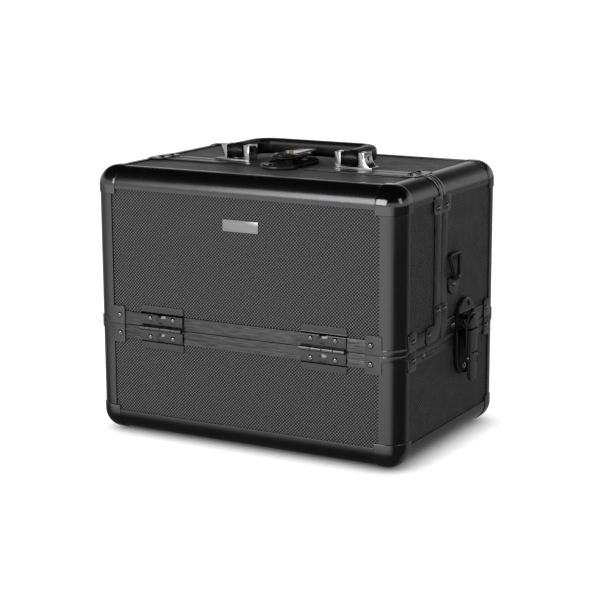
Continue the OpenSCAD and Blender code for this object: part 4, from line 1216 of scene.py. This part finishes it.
def grip():
    """Half the middle line from pin to centre, its mirror image, and the sweep."""
    end = -GRIP_R * np.cos(np.radians(np.linspace(3, 90, 12)))
    arm = np.linspace(0, REACH - BEND, 8)[1:]
    bend = arc((PIN_X - BEND, REACH - BEND), BEND, 0, 90, 17)[1:]
    leg = np.concatenate([end, arm])
    half = np.concatenate([np.stack([np.full(len(leg), PIN_X), leg], -1), bend])
    path = np.concatenate([half, [(0, REACH)], half[::-1] * [-1, 1]])
    ahead = headings(path)
    across = np.stack([ahead[:, 1], -ahead[:, 0], np.zeros(len(path))], -1)
    low = np.sqrt(1 - np.clip(-path[:, 1] / GRIP_R, 0, 0.999) ** 2)
    up = np.stack([0 * low, 0 * low, low], -1)
    spine = np.concatenate([path, np.zeros((len(path), 1))], 1) + [0, PIN_Y, PIN_Z]
    return solid(along(grip_section(), spine, across, up))


build("grip", "handle_grip", [grip()], sharp=50)

# %% [markdown]
# A strap ring is one wire bent to a rounded triangle and leaning on the side;
# its narrow end hangs in the rolled eye of a small tongue-shaped plate.


# %% Strap rings
RING_Y, RING_Z, RING_OUT, RING_LEAN = 5 * MM, 180 * MM, 4.1 * MM, -3.2 * MM
RING_H, RING_W, WIRE_R = 24 * MM, 26 * MM, 2.2 * MM


def strap_ring():
    """A closed wire; its distance from the side follows the height linearly."""
    foot, top = 5.5 * MM, RING_W / 2
    flat = rounded([(-foot, 0), (foot, 0), (top, RING_H), (-top, RING_H)],
                   [3.4 * MM, 3.4 * MM, 2.2 * MM, 2.2 * MM], steps=8)
    lean = RING_LEAN * flat[:, 1] / RING_H
    path = np.stack([W / 2 + RING_OUT + lean, RING_Y + flat[:, 0], RING_Z + flat[:, 1]], -1)
    out = unit([RING_H, 0, -RING_LEAN])
    across = np.cross(headings(path, closed=True), out)
    return wire(path, WIRE_R, across, out, steps=16, closed=True)


for node_name, parts in (
    ("right_strap_ring", [strap_ring()]),
    ("left_strap_ring", flipped([strap_ring()], "X")),
):
    build(node_name + "-wire", node_name, parts)

# %% [markdown]
# The floor is a matt white table. What the camera sees of it is partly plain
# white light, dimmed close to the case by ambient occlusion as a painted contact
# shadow, with enough real light left in it for a real shadow. What polished
# metal sees of it is mostly a glow whose strength depends on the place on the
# floor: painted light in front of the case and painted shade beside it and at
# its foot, as on a lit table.


# %% Floor finish
def rays(tree):
    """Two switches: rays that polished metal mirrors, and rays from the camera."""
    kinds = wired(tree, "LightPath").outputs
    mirror = sums(tree, "MAXIMUM", kinds["Is Glossy Ray"], kinds["Is Transmission Ray"])
    return mirror, kinds["Is Camera Ray"]


CORNER = (0.18, 0.125)  # the front right corner on the floor, x and -y in metres
LEAST = 0.02  # metres, so that no distance is divided by zero
GLOSSY_SHARE, CAMERA_SHARE = 0.85, 0.4
# How far the painted contact shadow reaches, in metres, and the strength of the white.
PAINTED_SHADOW_REACH, CONTACT_GLOW = 0.03, 2.6


def painted_table_glow(tree):
    """Strength of a painted glow of table light in polished metal, from distances to the front
    corners.

    ahead and aside are metres in front and to the right of CORNER, and beyond is
    metres to the left of the other front corner. The glow narrows to the right
    (window) and to the left (fade), and a weak one lies to the rear right. It is
    dimmest right at the case's foot (near), as painted shade.
    """
    here = split(tree, place(tree))
    ahead = sums(tree, "MULTIPLY_ADD", here["Y"], -1.0, -CORNER[1])
    aside = sums(tree, "MAXIMUM", sums(tree, "ADD", here["X"], -CORNER[0]), LEAST)
    beyond = sums(tree, "MULTIPLY_ADD", here["X"], -1.0, -CORNER[0])
    depth = sums(tree, "MAXIMUM", ahead, LEAST)
    near = span(tree, ahead, 0.05, 1.2, start=0.0, end=0.1)
    far = span(tree, ahead, 0.0, 0.3, start=0.15, end=0.75)
    window = span(tree, sums(tree, "DIVIDE", aside, depth), 1.0, 0.0, start=0.3, end=1.1)
    fade = span(tree, sums(tree, "DIVIDE", beyond, depth), 1.0, 0.45, start=0.7, end=2.2)
    behind = sums(tree, "DIVIDE", sums(tree, "MULTIPLY", ahead, -1.0), aside)
    weak = span(tree, behind, 0.0, 0.3, start=0.7, end=1.6)
    front = sums(tree, "MULTIPLY", sums(tree, "ADD", near, far),
                 sums(tree, "MULTIPLY", window, fade))
    return sums(tree, "ADD", front, weak)


def table_finish():
    """White for the camera, with a painted contact shadow where the case stands close; a glow of
    painted table light for metal.
    """
    material, tree, shader = finish("table-white", (0.85, 0.85, 0.85), roughness=0.8)
    mirror, camera = rays(tree)
    # Ambient occlusion dims the camera's white near the case: a painted contact shadow.
    painted_contact_shadow = wired(tree, "AmbientOcclusion", Distance=PAINTED_SHADOW_REACH)
    painted_contact_shadow.samples = 8
    white_with_painted_shadow = sums(tree, "MULTIPLY", painted_contact_shadow.outputs["AO"], CONTACT_GLOW)
    # Metal mirrors a painted glow of table light, not a lamp.
    mirrored = wired(tree, "Emission", Strength=painted_table_glow(tree))
    white = wired(tree, "Emission", Strength=white_with_painted_shadow)
    shown = layered(tree, shader, (
        (sums(tree, "MULTIPLY", mirror, GLOSSY_SHARE), mirrored),
        (sums(tree, "MULTIPLY", camera, CAMERA_SHARE), white)))
    tree.links.new(shown, tree.nodes["Material Output"].inputs["Surface"])
    return material


floor.data.materials.append(table_finish())
print("floor", floor.data.materials[0].name)

# %% [markdown]
# The world lights the case from three kinds of ray. Plain light comes mostly
# from the front and a little from the left. Polished metal sees a white horizon
# under a dark ceiling, which gives black edges their bright line at the top and
# their dark middle. The camera sees plain white.


# %% World light
def world_light(strength, ceiling):
    """A sky brighter in front, a horizon with a ceiling for metal, white to see."""
    world = bpy.data.worlds.new("world")
    bpy.context.scene.world = world
    world.use_nodes = True
    tree = world.node_tree
    tree.nodes.clear()
    way = split(tree, wired(tree, "TexCoord").outputs["Generated"])
    left = sums(tree, "MULTIPLY", way["X"], -0.5)
    facing = sums(tree, "MULTIPLY_ADD", way["Y"], -0.87, left)
    front_light = span(tree, facing, 0.05, strength, start=0.0, end=1.0)
    left_light = span(tree, left, 0.0, 0.7, start=0.0, end=0.5)
    height = span(tree, way["Z"], 1.0, ceiling, start=0.22, end=0.4)
    sky = wired(tree, "Background", Strength=sums(tree, "ADD", front_light, left_light))
    room = wired(tree, "Background", Strength=height)
    white = wired(tree, "Background", Color=(1, 1, 1, 1))
    mirror, camera = rays(tree)
    shown = layered(tree, sky, ((mirror, room), (camera, white)))
    tree.links.new(shown, wired(tree, "OutputWorld").inputs[0])


world_light(strength=1.65, ceiling=0.02)
bpy.context.scene.view_settings.view_transform = "Standard"
print("view", bpy.context.scene.view_settings.view_transform)
